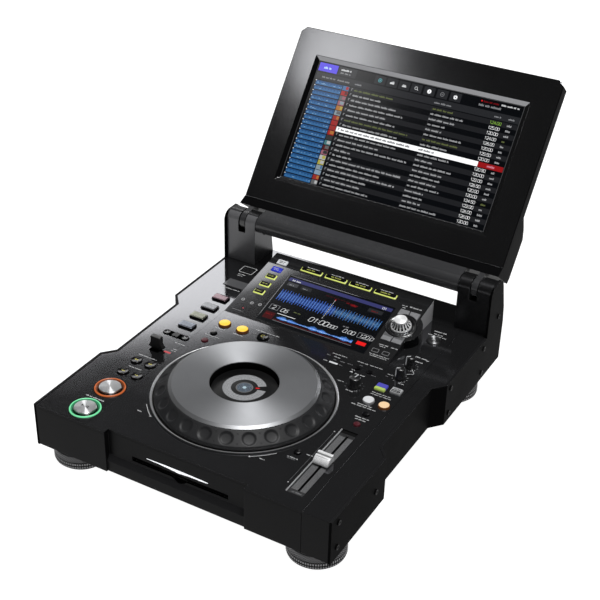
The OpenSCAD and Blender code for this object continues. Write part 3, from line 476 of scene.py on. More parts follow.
class MB:
    """Collects parts of one mesh, in drawing millimetres."""
    def __init__(self):
        self.v, self.f, self.k = [], [], []

    def add(self, verts, faces, k=0):
        n = len(self.v)
        self.v += [tuple(p) for p in verts]
        self.f += [tuple(i + n for i in f) for f in faces]
        self.k += [k] * len(faces)

    def box(self, x0, y0, z0, x1, y1, z1, k=0):
        v = [(x0, y0, z0), (x1, y0, z0), (x1, y1, z0), (x0, y1, z0), (x0, y0, z1), (x1, y0, z1), (x1, y1, z1), (x0, y1, z1)]
        self.add(v, [(0, 3, 2, 1), (4, 5, 6, 7), (0, 1, 5, 4), (1, 2, 6, 5), (2, 3, 7, 6), (3, 0, 4, 7)], k)

    def prism(self, pts, z0, z1, k=0, cap=True, axis='z'):
        n = len(pts)
        def q(p, z):
            return (p[0], p[1], z) if axis == 'z' else ((z, p[0], p[1]) if axis == 'x' else (p[0], z, p[1]))
        v = [q(p, z0) for p in pts] + [q(p, z1) for p in pts]
        f = [(i, (i + 1) % n, n + (i + 1) % n, n + i) for i in range(n)]
        if cap:
            f += [tuple(range(n))[::-1], tuple(range(n, 2 * n))]
        self.add(v, f, k)

    def lathe(self, prof, n=96, c=(0, 0), k=0, closed=False, a0=0.0, a1=2 * math.pi):
        full = abs(a1 - a0 - 2 * math.pi) < 1e-6
        cols = n if full else n + 1
        v, f = [], []
        idx = []
        for (r, z) in prof:
            if r < 1e-6:
                idx.append([len(v)] * cols); v.append((c[0], c[1], z))
            else:
                row = []
                for i in range(cols):
                    a = a0 + (a1 - a0) * i / n
                    row.append(len(v)); v.append((c[0] + r * math.cos(a), c[1] + r * math.sin(a), z))
                idx.append(row)
        m = len(prof)
        for j in range(m if closed else m - 1):
            A, B = idx[j], idx[(j + 1) % m]
            for i in range(n if full else n):
                i2 = (i + 1) % cols if full else i + 1
                q = [A[i], A[i2], B[i2], B[i]]
                q2 = []
                for t in q:
                    if t not in q2:
                        q2.append(t)
                if len(q2) >= 3:
                    f.append(tuple(q2))
        self.add(v, f, k)

    def quad(self, x0, y0, x1, y1, z, k=0):
        self.add([(x0, y0, z), (x1, y0, z), (x1, y1, z), (x0, y1, z)], [(0, 1, 2, 3)], k)

    def poly(self, pts, z, k=0):
        self.add([(p[0], p[1], z) for p in pts], [tuple(range(len(pts)))], k)

    def disc(self, x, y, r, z, k=0, n=32):
        self.poly([(x + r * math.cos(2 * math.pi * i / n), y + r * math.sin(2 * math.pi * i / n)) for i in range(n)], z, k)

    def ringflat(self, x, y, r0, r1, z, k=0, n=48, a0=0.0, a1=2 * math.pi):
        self.lathe([(r0, z), (r1, z)], n, (x, y), k, a0=a0, a1=a1)


def rrect(x, y, w, h, r, n=6):
    pts = []
    for cx, cy, s in ((x + w / 2 - r, y + h / 2 - r, 0), (x - w / 2 + r, y + h / 2 - r, 90), (x - w / 2 + r, y - h / 2 + r, 180), (x + w / 2 - r, y - h / 2 + r, 270)):
        for i in range(n + 1):
            a = math.radians(s + 90 * i / n)
            pts.append((cx + r * math.cos(a), cy + r * math.sin(a)))
    return pts


def loft(mb, rings, k=0, cap_lo=True, cap_hi=True):
    """rings: list of equal-length point lists (x, y, z)."""
    n = len(rings[0]); v = []; f = []
    for r in rings:
        v += r
    for j in range(len(rings) - 1):
        for i in range(n):
            i2 = (i + 1) % n
            f.append((j * n + i, j * n + i2, (j + 1) * n + i2, (j + 1) * n + i))
    if cap_lo:
        f.append(tuple(range(n))[::-1])
    if cap_hi:
        f.append(tuple((len(rings) - 1) * n + i for i in range(n)))
    mb.add(v, f, k)


def grid_plate(mb, x0, y0, x1, y1, holes, z0, z1, warp=None, k=0):
    """A thin plate with rectangular holes (x, y, w, d), closed all round."""
    xs = sorted({x0, x1} | {round(h[0] + t * h[2] / 2, 4) for h in holes for t in (-1, 1) if x0 < h[0] + t * h[2] / 2 < x1})
    ys = sorted({y0, y1} | {round(h[1] + t * h[3] / 2, 4) for h in holes for t in (-1, 1) if y0 < h[1] + t * h[3] / 2 < y1})
    nx, ny = len(xs) - 1, len(ys) - 1
    def filled(i, j):
        if i < 0 or j < 0 or i >= nx or j >= ny:
            return False
        cx, cy = (xs[i] + xs[i + 1]) / 2, (ys[j] + ys[j + 1]) / 2
        return not any(abs(cx - h[0]) < h[2] / 2 and abs(cy - h[1]) < h[3] / 2 for h in holes)
    w = warp or (lambda x, y: (x, y))
    idx = {}
    v, f = [], []
    def vid(i, j, z):
        key = (i, j, z)
        if key not in idx:
            a, b = w(xs[i], ys[j])
            idx[key] = len(v); v.append((a, b, z1 if z else z0))
        return idx[key]
    for i in range(nx):
        for j in range(ny):
            if not filled(i, j):
                continue
            f.append((vid(i, j, 1), vid(i + 1, j, 1), vid(i + 1, j + 1, 1), vid(i, j + 1, 1)))
            f.append((vid(i, j + 1, 0), vid(i + 1, j + 1, 0), vid(i + 1, j, 0), vid(i, j, 0)))
            for di, dj, a, b in ((0, -1, (i, j), (i + 1, j)), (1, 0, (i + 1, j), (i + 1, j + 1)), (0, 1, (i + 1, j + 1), (i, j + 1)), (-1, 0, (i, j + 1), (i, j))):
                if not filled(i + di, j + dj):
                    f.append((vid(*a, 0), vid(*b, 0), vid(*b, 1), vid(*a, 1)))
    mb.add(v, f, k)


def put_mb(name, mb, M, body, mats, **kw):
    if not isinstance(mats, (list, tuple)):
        mats = [mats]
    return put(name, mb.v, mb.f, M, body, None, mats=mats, fmat=mb.k, **kw)


STROKES = {
    "0": [(0.11, 0), (0.39, 0), (0.5, 0.11), (0.5, 0.61), (0.39, 0.72), (0.11, 0.72), (0, 0.61), (0, 0.11), (0.11, 0)],
    "1": [(0.10, 0.58), (0.29, 0.72), (0.29, 0)],
    "2": [(0, 0.6), (0.1, 0.72), (0.4, 0.72), (0.5, 0.6), (0.5, 0.46), (0, 0), (0.5, 0)],
    "4": [(0.38, 0), (0.38, 0.72), (0, 0.2), (0.52, 0.2)],
    "5": [(0.48, 0.72), (0.04, 0.72), (0.0, 0.42), (0.4, 0.42), (0.5, 0.32), (0.5, 0.1), (0.4, 0), (0.1, 0), (0, 0.08)],
    "6": [(0.42, 0.72), (0.12, 0.62), (0, 0.4), (0, 0.1), (0.1, 0), (0.4, 0), (0.5, 0.1), (0.5, 0.3), (0.4, 0.42), (0.02, 0.38)],
    "8": [(0.1, 0.38), (0, 0.28), (0, 0.1), (0.1, 0), (0.4, 0), (0.5, 0.1), (0.5, 0.28), (0.4, 0.38), (0.1, 0.38), (0.02, 0.48), (0.02, 0.62), (0.12, 0.72), (0.38, 0.72), (0.48, 0.62), (0.48, 0.48), (0.4, 0.38)],
}


def digits(mb, s, x, y, size, z, k, shear=0.0):
    """Plain numerals in fine strokes, laid flat at (x, y), size in mm, added to mb as faces."""
    t = 0.036 * size
    u = 0.0
    for ch in s:
        if ch in ".:":
            for v in ((0.0,) if ch == "." else (0.12, 0.46)):
                a = x + (u + 0.05 + shear * v) * size
                mb.quad(a, y + v * size, a + 2.4 * t, y + v * size + 2.4 * t, z, k)
            u += 0.23
            continue
        pts = [(x + (u + 0.04 + px + shear * py) * size, y + py * size) for px, py in STROKES[ch]]
        for (ax, ay), (bx, by) in zip(pts, pts[1:]):
            d = math.hypot(bx - ax, by - ay)
            ex, ey = (bx - ax) / d * t * 0.6, (by - ay) / d * t * 0.6
            nx, ny = -(by - ay) / d * t, (bx - ax) / d * t
            mb.add([(ax - ex - nx, ay - ey - ny, z), (bx + ex - nx, by + ey - ny, z), (bx + ex + nx, by + ey + ny, z), (ax - ex + nx, ay - ey + ny, z)], [(0, 1, 2, 3)], k)
        u += 0.58


def greek(mb, x, y, w, h, z, k, seed=0):
    """A line of plain short bars, standing for a line of small print."""
    r = random.Random(seed)
    t = 0.0
    while t < w:
        word = h * r.uniform(1.6, 4.6)
        word = min(word, w - t)
        if word < h * 0.6:
            break
        u = 0.0
        while u < word - h * 0.2:
            g = h * r.uniform(0.36, 0.62)
            hh = h * r.choice((0.72, 0.72, 0.72, 1.0, 0.72, 0.95))
            g = min(g, word - u)
            mb.quad(x + t + u, y, x + t + u + g * 0.78, y + hh, z, k)
            u += g
        t += word + h * 0.55


# ================================================================ casing
def casing():
    cad("base_pan", MAT["pan"], 0.2, 1)
    for node, m, bev in (("deck_center", "deck", 0.25), ("deck_left", "deck_left", 0.25), ("deck_right", "deck", 0.3)):
        o = cad(node, MAT[m], bev, 2)
        o.data.materials.append(MAT["moulding"])
        for q in o.data.polygons:
            right_edge = node == "deck_right" and q.normal.x > 0.3 and q.normal.z > 0.3
            if q.normal.z < 0.88 and not right_edge:
                q.material_index = 1
    cad("rear_panel", MAT["plate"], 0.25, 1)
    cad("rear_sockets", MAT["socket"], 0.25, 1)
    o = cad("side_plates", MAT["plate"], 0.45, 2, angle=30, bev_ang=20)
    o.data.materials.append(MAT["plate_top"])
    o.data.materials.append(MAT["plate_edge"])
    # top faces take the painted-lit copy, sloped top edges the painted highlight
    for q in o.data.polygons:
        if q.normal.z > 0.9:
            q.material_index = 1
        elif q.normal.z > 0.3 and abs(q.normal.x) > 0.3:
            q.material_index = 2
    o = cad("hinge_pillars", MAT["pillar"], 0.9, 3)
    o.data.materials.append(MAT["pillar_side"])
    o.data.materials.append(MAT["pillar_front"])
    # the right pillar's outer side takes the painted-shade copy, the left pillar's front the painted-lit copy
    for q in o.data.polygons:
        if q.normal.x > 0.8 and q.center.x > 0:
            q.material_index = 1
        elif q.normal.y < -0.35 and q.center.x < 0:
            q.material_index = 2
    recolour("hinge_pins", MAT["pin"])
    cad("case_screws", MAT["screw"], 0.25, 2)
    recolour("main_board", MAT["board"])
    recolour("power_supply", MAT["cage"])
    recolour("disc_drive", MAT["cage"])
    cad("foot_pads", MAT["rubber"], 0.5, 2)
    o = cad("display_housing", MAT["housing"], 0.5, 2)
    o.data.materials.append(MAT["housing_side"])
    o.data.materials.append(MAT["housing_black"])
    for q in o.data.polygons:
        if q.normal.x > 0.985 and q.center.x > 0.1115:
            q.material_index = 1
        elif q.normal.y > 0.5 or (q.normal.z < 0.9 and q.center.x > 0.104):
            q.material_index = 2
    cad("tempo_track", MAT["strip"], 0.2, 1)


def front():
    o = cad("front_panel", MAT["moulding"], 0.5, 2)
    o.data.materials.append(MAT["moulding_low"])
    # faces turned down, and sloped faces low on the front, take the painted-lit copy
    for q in o.data.polygons:
        if q.normal.z < -0.12 or (0.15 < q.normal.z < 0.9 and q.center.z < 0.0585):
            q.material_index = 1
    # painted highlight over the slot: a slim glowing lens let into the face, standing in for the light caught on the
    # lip above the slot
    mb = MB()
    tab = [(-41.0, 0.18), (-31.0, 0.9), (-15.0, 1.9), (-5.0, 2.9), (1.0, 3.7), (7.0, 2.9), (15.0, 2.0), (26.0, 1.6), (36.0, 0.9), (38.6, 0.2)]
    def thick(x):
        for (xa, ta), (xb, tb) in zip(tab, tab[1:]):
            if x <= xb:
                t = (x - xa) / (xb - xa)
                return ta + (tb - ta) * (3 * t * t - 2 * t ** 3)
        return tab[-1][1]
    n = 56
    top, bot = [], []
    for i in range(n + 1):
        x = -41.0 + 79.6 * i / n
        zt = 61.1 + 0.9 * (1 - ((x + 1.2) / 39.8) ** 2)
        top.append((x, zt)); bot.append((x, zt - thick(x)))
    pts = bot + top[::-1]
    rings = []
    for yy, g in ((7.4, 0.0), (6.6, 0.0), (6.35, 0.16)):
        rr = []
        for i, q in enumerate(bot):
            m_ = (q[1] + top[i][1]) / 2
            rr.append((q[0], yy, q[1] + min(g, (m_ - q[1]) * 0.7)))
        for i, q in enumerate(top[::-1]):
            m_ = (q[1] + bot[::-1][i][1]) / 2
            rr.append((q[0], yy, q[1] - min(g, (q[1] - m_) * 0.7)))
        rings.append(rr)
    loft(mb, rings)
    put_mb("slot_painted_highlight_bar", mb, M0, "player", MAT["slot_painted_highlight"], slot="glow_ring")
    # dark throat behind the slot
    mb = MB()
    mb.box(-60.8, 9.6, 49.7, 63.4, 12.9, 50.0, 0)
    mb.box(-60.8, 9.6, 55.3, 63.4, 12.9, 55.5, 0)
    put_mb("slot_lips", mb, M0, "player", MAT["rubber"], slot="foot_rubber", angle=20, bevel=0.05)


def feet():
    for i, (x, y) in enumerate(FEET):
        pass
    mb = MB()
    n = 300
    R = 66.5 / 2
    for (fx, fy) in FEET:
        rows = []
        zs = [3.2 + 18.0 * j / 30 for j in range(31)]
        v, f = [], []
        def add_row(fn):
            base = len(v)
            for i in range(n):
                a = 2 * math.pi * i / n
                r, z = fn(a)
                v.append((fx + r * math.cos(a), fy + r * math.sin(a), z))
            rows.append(base)
        add_row(lambda a: (R - 3.2, 2.62))
        add_row(lambda a: (R - 1.6, 2.62))
        add_row(lambda a: (R - 0.7, 3.1))
        for z in zs:
            def fn(a, z=z):
                if z < 11.0:
                    p = q = abs((a * 75 / (2 * math.pi)) % 1.0 - 0.5) * 2
                    if 6.4 < z < 7.6:
                        p = q = 0.0
                else:
                    u = a * 75 / (2 * math.pi)
                    w = (z - 11.0) / 2.6
                    p = abs(((u + w) % 1.0) - 0.5) * 2
                    q = abs(((u - w) % 1.0) - 0.5) * 2
                edge = min(1.0, (z - 3.2) / 1.2, (21.2 - z) / 1.2, abs(z - 11.0) / 0.9)
                return (R - 0.9 + 0.85 * max(0, edge) * (0.5 * p + 0.5 * q), z)
            add_row(fn)
        add_row(lambda a: (R - 0.8, 21.4))
        add_row(lambda a: (R - 6.0, 21.5))
        add_row(lambda a: (R - 6.0, 25.6))
        # knurl grooves take the near-black copy and the upper rows the darker copy: painted shade
        groove, upper = [], []
        for j in range(len(rows) - 1):
            for i in range(n):
                i2 = (i + 1) % n
                q = (rows[j] + i, rows[j] + i2, rows[j + 1] + i2, rows[j + 1] + i)
                r = sum(math.hypot(v[k][0] - fx, v[k][1] - fy) for k in q) / 4
                low = 3 <= j < 33 and r < R - 0.46
                (groove if low else (upper if j >= 16 else f)).append(q)
        mb.add(v, f, 0)
        mb.add([], [tuple(k - len(v) for k in q) for q in groove], 1)
        mb.add([], [tuple(k - len(v) for k in q) for q in upper], 2)
    put_mb("foot_rings_knurled", mb, M0, "player", [MAT["foot"], MAT["foot_groove"], MAT["foot_upper"]], replaces=("foot_rings",), slot="foot_metal", angle=70)


# ================================================================ lid
def lid():
    cad("lid_back", MAT["shell"], 0.7, 2)
    cad("hinge_cover", MAT["barrel"], 0.5, 2)
    hw, L, ch = 185.5, 243.1, 7.0
    ow, o0, oh = 303.5 / 2, 32.15, 175.9
    iw = 5.6; dep = -3.7
    def outer(g, w):
        a = [(-hw + g, 0 + g, w), (hw - g, 0 + g, w), (hw - g, L - ch, w), (hw - ch, L - g, w), (-hw + ch, L - g, w), (-hw + g, L - ch, w)]
        return a
    mb = MB()
    O0, O1, O2 = outer(0, -4.9), outer(0, -0.7), outer(0.7, 0.0)
    I0 = [(-ow, o0, 0), (ow, o0, 0), (ow, o0 + oh, 0), (-ow, o0 + oh, 0)]
    I1 = [(-ow + iw, o0 + iw, dep), (ow - iw, o0 + iw, dep), (ow - iw, o0 + oh - iw, dep), (-ow + iw, o0 + oh - iw, dep)]
    I2 = [(p[0], p[1], -5.0) for p in I1]
    v = O0 + O1 + O2 + I0 + I1 + I2
    f = []
    for i in range(6):
        j = (i + 1) % 6
        f.append((i, j, 6 + j, 6 + i)); f.append((6 + i, 6 + j, 12 + j, 12 + i))
    a = 12; b = 18
    f += [(a + 0, a + 1, b + 1, b + 0), (a + 1, a + 2, b + 2, b + 1), (a + 2, a + 3, b + 2), (a + 3, a + 4, b + 3, b + 2), (a + 4, a + 5, b + 3), (a + 5, a + 0, b + 0, b + 3)]
    for i in range(4):
        j = (i + 1) % 4
        f.append((b + i, b + j, b + 4 + j, b + 4 + i)); f.append((b + 4 + i, b + 4 + j, b + 8 + j, b + 8 + i))
    # underside ring
    f += [(5, 4, b + 11), (4, 3, b + 10, b + 11), (3, 2, b + 10), (2, 1, b + 9, b + 10), (1, 0, b + 8, b + 9), (0, 5, b + 11, b + 8)]
    mb.add(v, f, 0)
    o = put_mb("lid_bezel_frame", mb, MLID, "lid", [MAT["lid"], MAT["shell"]], replaces=("lid_bezel",), slot="lid_black", bevel=0.35, segs=2, bev_ang=25)
    nw = (MLID.to_3x3() @ Vector((0, 0, 1))).normalized()
    for q in o.data.polygons:
        if abs(q.normal.dot(nw)) < 0.35 or q.normal.x > 0.2:
            q.material_index = 1
    # soft gasket between the bezel's step and the glass
    mb2 = MB()
    e0, e1, t_ = -ow + iw, ow - iw, 0.9
    b0, b1 = o0 + iw, o0 + oh - iw
    for (xa, ya, xb, yb) in ((e0, b0, e1, b0 + t_), (e0, b1 - t_, e1, b1), (e0, b0 + t_, e0 + t_, b1 - t_), (e1 - t_, b0 + t_, e1, b1 - t_)):
        mb2.box(xa + 0.02, ya + 0.02, -3.82, xb - 0.02, yb - 0.02, -3.35, 0)
    put_mb("lid_screen_gasket", mb2, MLID, "lid", MAT["gasket"], slot="lid_black", bevel=0.12, segs=1)
    # glass and its picture
    gx, g0, g1 = ow - iw, o0 + iw, o0 + oh - iw
    mb = MB()
    mb.box(-gx + 0.1, g0 + 0.1, -4.9, gx - 0.1, g1 - 0.1, -3.85, 0)
    put_mb("lid_screen_glass", mb, MLID, "lid", UIM["bg"], replaces=("lid_touchscreen",), slot="lid_screen", bevel=0.1, segs=1)
    return gx, g0, g1


def lid_ui(gx, g0, g1):
    W, H = 2 * gx, g1 - g0
    names = list(UIM); idx = {n: i for i, n in enumerate(names)}
    mb = MB()
    z0 = -3.84
    def X(t): return -gx + 1.0 + t * (W - 2.0)
    def Y(t): return g1 - 1.0 - t * (H - 2.0)          # t down from the top
    def R(x0, y0, x1, y1, k, lay=0):
        mb.quad(X(x0), Y(y1), X(x1), Y(y0), z0 + 0.012 * lay, idx[k])
    # top bar
    R(0.0, 0.0, 1.0, 0.088, "bg", 1)
    R(0.004, 0.004, 0.100, 0.074, "indigo", 2)
    greek(mb, X(0.030), Y(0.050), 11, 3.0, z0 + 0.05, idx["blue3"], 1)
    R(0.106, 0.006, 0.196, 0.076, "panel", 2)
    greek(mb, X(0.118), Y(0.036), 15, 2.6, z0 + 0.05, idx["text"], 2)
    greek(mb, X(0.118), Y(0.062), 15, 2.2, z0 + 0.05, idx["grey"], 3)
    for i, x in enumerate((0.292, 0.352, 0.412, 0.472, 0.535, 0.598, 0.661)):
        R(x, 0.008, x + 0.053, 0.078, "panel", 2)
        cx, cy = X(x + 0.0265), Y(0.044)
        zz = z0 + 0.05
        if i == 0:
            mb.ringflat(cx, cy, 2.0, 2.7, zz, idx["teal"], 20); mb.disc(cx, cy, 1.0, zz, idx["teal"], 12)
        elif i == 1:
            mb.quad(cx - 3, cy - 1.6, cx + 3, cy + 0.6, zz, idx["text"]); mb.poly([(cx - 2, cy + 0.9), (cx + 3, cy + 0.9), (cx + 2, cy + 2.4)], zz, idx["text"])
        elif i == 2:
            mb.quad(cx - 3, cy - 1.8, cx + 3, cy - 0.2, zz, idx["text"]); mb.quad(cx - 2.2, cy + 0.2, cx + 2.2, cy + 1.2, zz, idx["text"])
        elif i == 3:
            mb.ringflat(cx - 0.5, cy + 0.5, 1.5, 2.1, zz, idx["text"], 18); mb.poly([(cx + 0.9, cy - 0.6), (cx + 1.4, cy - 0.1), (cx + 3.0, cy - 2.0), (cx + 2.5, cy - 2.4)], zz, idx["text"])
        elif i == 4:
            mb.disc(cx, cy, 2.8, zz, idx["white"], 24); mb.quad(cx - 0.4, cy - 1.6, cx + 0.4, cy + 0.5, zz + 0.01, idx["panel"]); mb.quad(cx - 0.4, cy + 0.9, cx + 0.4, cy + 1.7, zz + 0.01, idx["panel"])
        elif i == 5:
            mb.ringflat(cx, cy, 2.2, 2.8, zz, idx["grey"], 20); mb.quad(cx - 1.4, cy - 0.3, cx + 1.4, cy + 0.3, zz, idx["grey"])
        else:
            for a in range(8):
                t = a * math.pi / 4
                mb.add([(cx + 3.0 * math.cos(t - 0.14), cy + 3.0 * math.sin(t - 0.14), zz), (cx + 3.0 * math.cos(t + 0.14), cy + 3.0 * math.sin(t + 0.14), zz), (cx + 1.6 * math.cos(t + 0.25), cy + 1.6 * math.sin(t + 0.25), zz), (cx + 1.6 * math.cos(t - 0.25), cy + 1.6 * math.sin(t - 0.25), zz)], [(0, 1, 2, 3)], idx["white"])
            mb.ringflat(cx, cy, 1.0, 2.1, zz, idx["white"], 20)
    # right of the bar: small read-outs
    R(0.795, 0.006, 0.996, 0.080, "bg", 2)
    R(0.806, 0.018, 0.812, 0.028, "red", 3)
    greek(mb, X(0.818), Y(0.030), 22, 2.2, z0 + 0.05, idx["dred"], 11)
    greek(mb, X(0.90), Y(0.030), 24, 2.2, z0 + 0.05, idx["text"], 12)
    greek(mb, X(0.800), Y(0.064), 30, 3.0, z0 + 0.05, idx["grey"], 13)
    # header
    R(0.0, 0.088, 1.0, 0.142, "panel", 1)
    greek(mb, X(0.035), Y(0.126), 20, 2.2, z0 + 0.05, idx["grey"], 21)
    greek(mb, X(0.115), Y(0.126), 20, 2.2, z0 + 0.05, idx["grey"], 22)
    greek(mb, X(0.205), Y(0.126), 12, 2.2, z0 + 0.05, idx["grey"], 23)
    greek(mb, X(0.600), Y(0.126), 24, 2.2, z0 + 0.05, idx["grey"], 24)
    greek(mb, X(0.885), Y(0.126), 9, 2.2, z0 + 0.05, idx["grey"], 25)
    greek(mb, X(0.950), Y(0.126), 8, 2.2, z0 + 0.05, idx["grey"], 26)
    rows = 20
    t0 = 0.150; dt = (0.998 - t0) / rows
    art = ["blue2", "red", "grey", "rose", "orange", "pale", "red2", "red", "red2", "red", "panel2", "teal", "dred", "rose", "white", "yellow", "pale", "blue3", "red2", "grey"]
    art2 = ["red", "dred", "rose", "pale", "yellow", "grey", "orange", "red2", "red", "orange", "panel2", "white", "grey", "panel2", "yellow", "white", "blue2", "pale", "orange", "white"]
    r = random.Random(5)
    for i in range(rows):
        y0, y1 = t0 + i * dt, t0 + (i + 1) * dt
        R(0.190, y0, 1.0, y1 - 0.0012, "lpanel" if i % 2 == 0 else "bg", 1)
        # picture column: overview strips
        R(0.012, y0 + 0.004, 0.150, y1 - 0.004, "lblue", 1)
        amp = [0.4 + 0.6 * abs(math.sin(0.6 * j + i)) * r.uniform(0.6, 1) for j in range(46)]
        h = (Y(y0) - Y(y1))
        for j in range(46):
            xa = X(0.014 + 0.134 * j / 46); xb = X(0.014 + 0.134 * (j + 0.8) / 46)
            yb = Y(y1) + 0.7
            mb.quad(xa, yb, xb, yb + (h - 2.4) * amp[j], z0 + 0.03, idx["lblue2"])
            if r.random() < 0.10:
                mb.quad(xa, yb + (h - 2.4) * amp[j] * 0.55, X(0.014 + 0.134 * min(46, j + 1 + r.random() * 3) / 46), yb + (h - 2.4) * amp[j] * 0.55 + 0.8, z0 + 0.04, idx["lblue3"])
        mb.quad(X(0.010), Y(y0) - 1.5, X(0.014), Y(y0) - 0.5, z0 + 0.04, idx["white"])
        # cover squares, plain colour blocks
        R(0.153, y0 + 0.003, 0.185, y1 - 0.002, "art_" + art[i], 2)
        q = r.uniform(0.3, 0.7)
        R(0.153 + 0.032 * q, y0 + 0.006, 0.183, y0 + dt * 0.75, "art_" + art2[i], 3)
        # selected row
        hi = i == 8
        green = i in (0, 6)
        if hi:
            R(0.188, y0 + 0.001, 0.882, y1 - 0.001, "white", 4)
            R(0.882, y0 + 0.001, 0.998, y1 - 0.001, "sred", 4)
            greek(mb, X(0.925), Y(y1) + 2.2, 10, 3.0, z0 + 0.08, idx["rose"], 77)
        tk = "panel2" if hi else ("dgreen" if green else "ltext")
        lay = z0 + 0.07
        hgt = 2.5
        yb = Y(y1) + 2.3
        wlen = r.uniform(0.08, 0.36)
        greek(mb, X(0.212), yb, wlen * W, hgt, lay, idx[tk], 100 + i)
        mb.poly([(X(0.197), yb + 0.2), (X(0.197) + 1.0, yb + 0.2), (X(0.197) + 1.0, yb + 2.8), (X(0.197) + 2.4, yb + 2.4), (X(0.197) + 2.4, yb + 3.1), (X(0.197), yb + 3.4)], lay, idx["grey" if not hi else "panel2"])
        greek(mb, X(0.600 if i % 3 else 0.603), yb, r.uniform(0.07, 0.20) * W, hgt, lay, idx["dgreen" if green else ("panel2" if hi else "ltext")], 200 + i)
        if not hi:
            digits(mb, f"{rnd.choice((120, 122, 124, 125, 126, 128))}.{rnd.choice(('00', '00', '00', '50'))}", X(0.872), yb - 0.4, 5.0, lay, idx["green" if i == 0 else "white"])
            greek(mb, X(0.952), yb, 6.5, hgt, lay, idx["dgreen" if r.random() < 0.15 else "ltext"], 300 + i)
        R(0.598, y0, 0.5988, y1, "panel2", 2)
    put_mb("lid_screen_picture", mb, MLID, "lid", [UIM[n] for n in names], slot="lid_screen", angle=10)


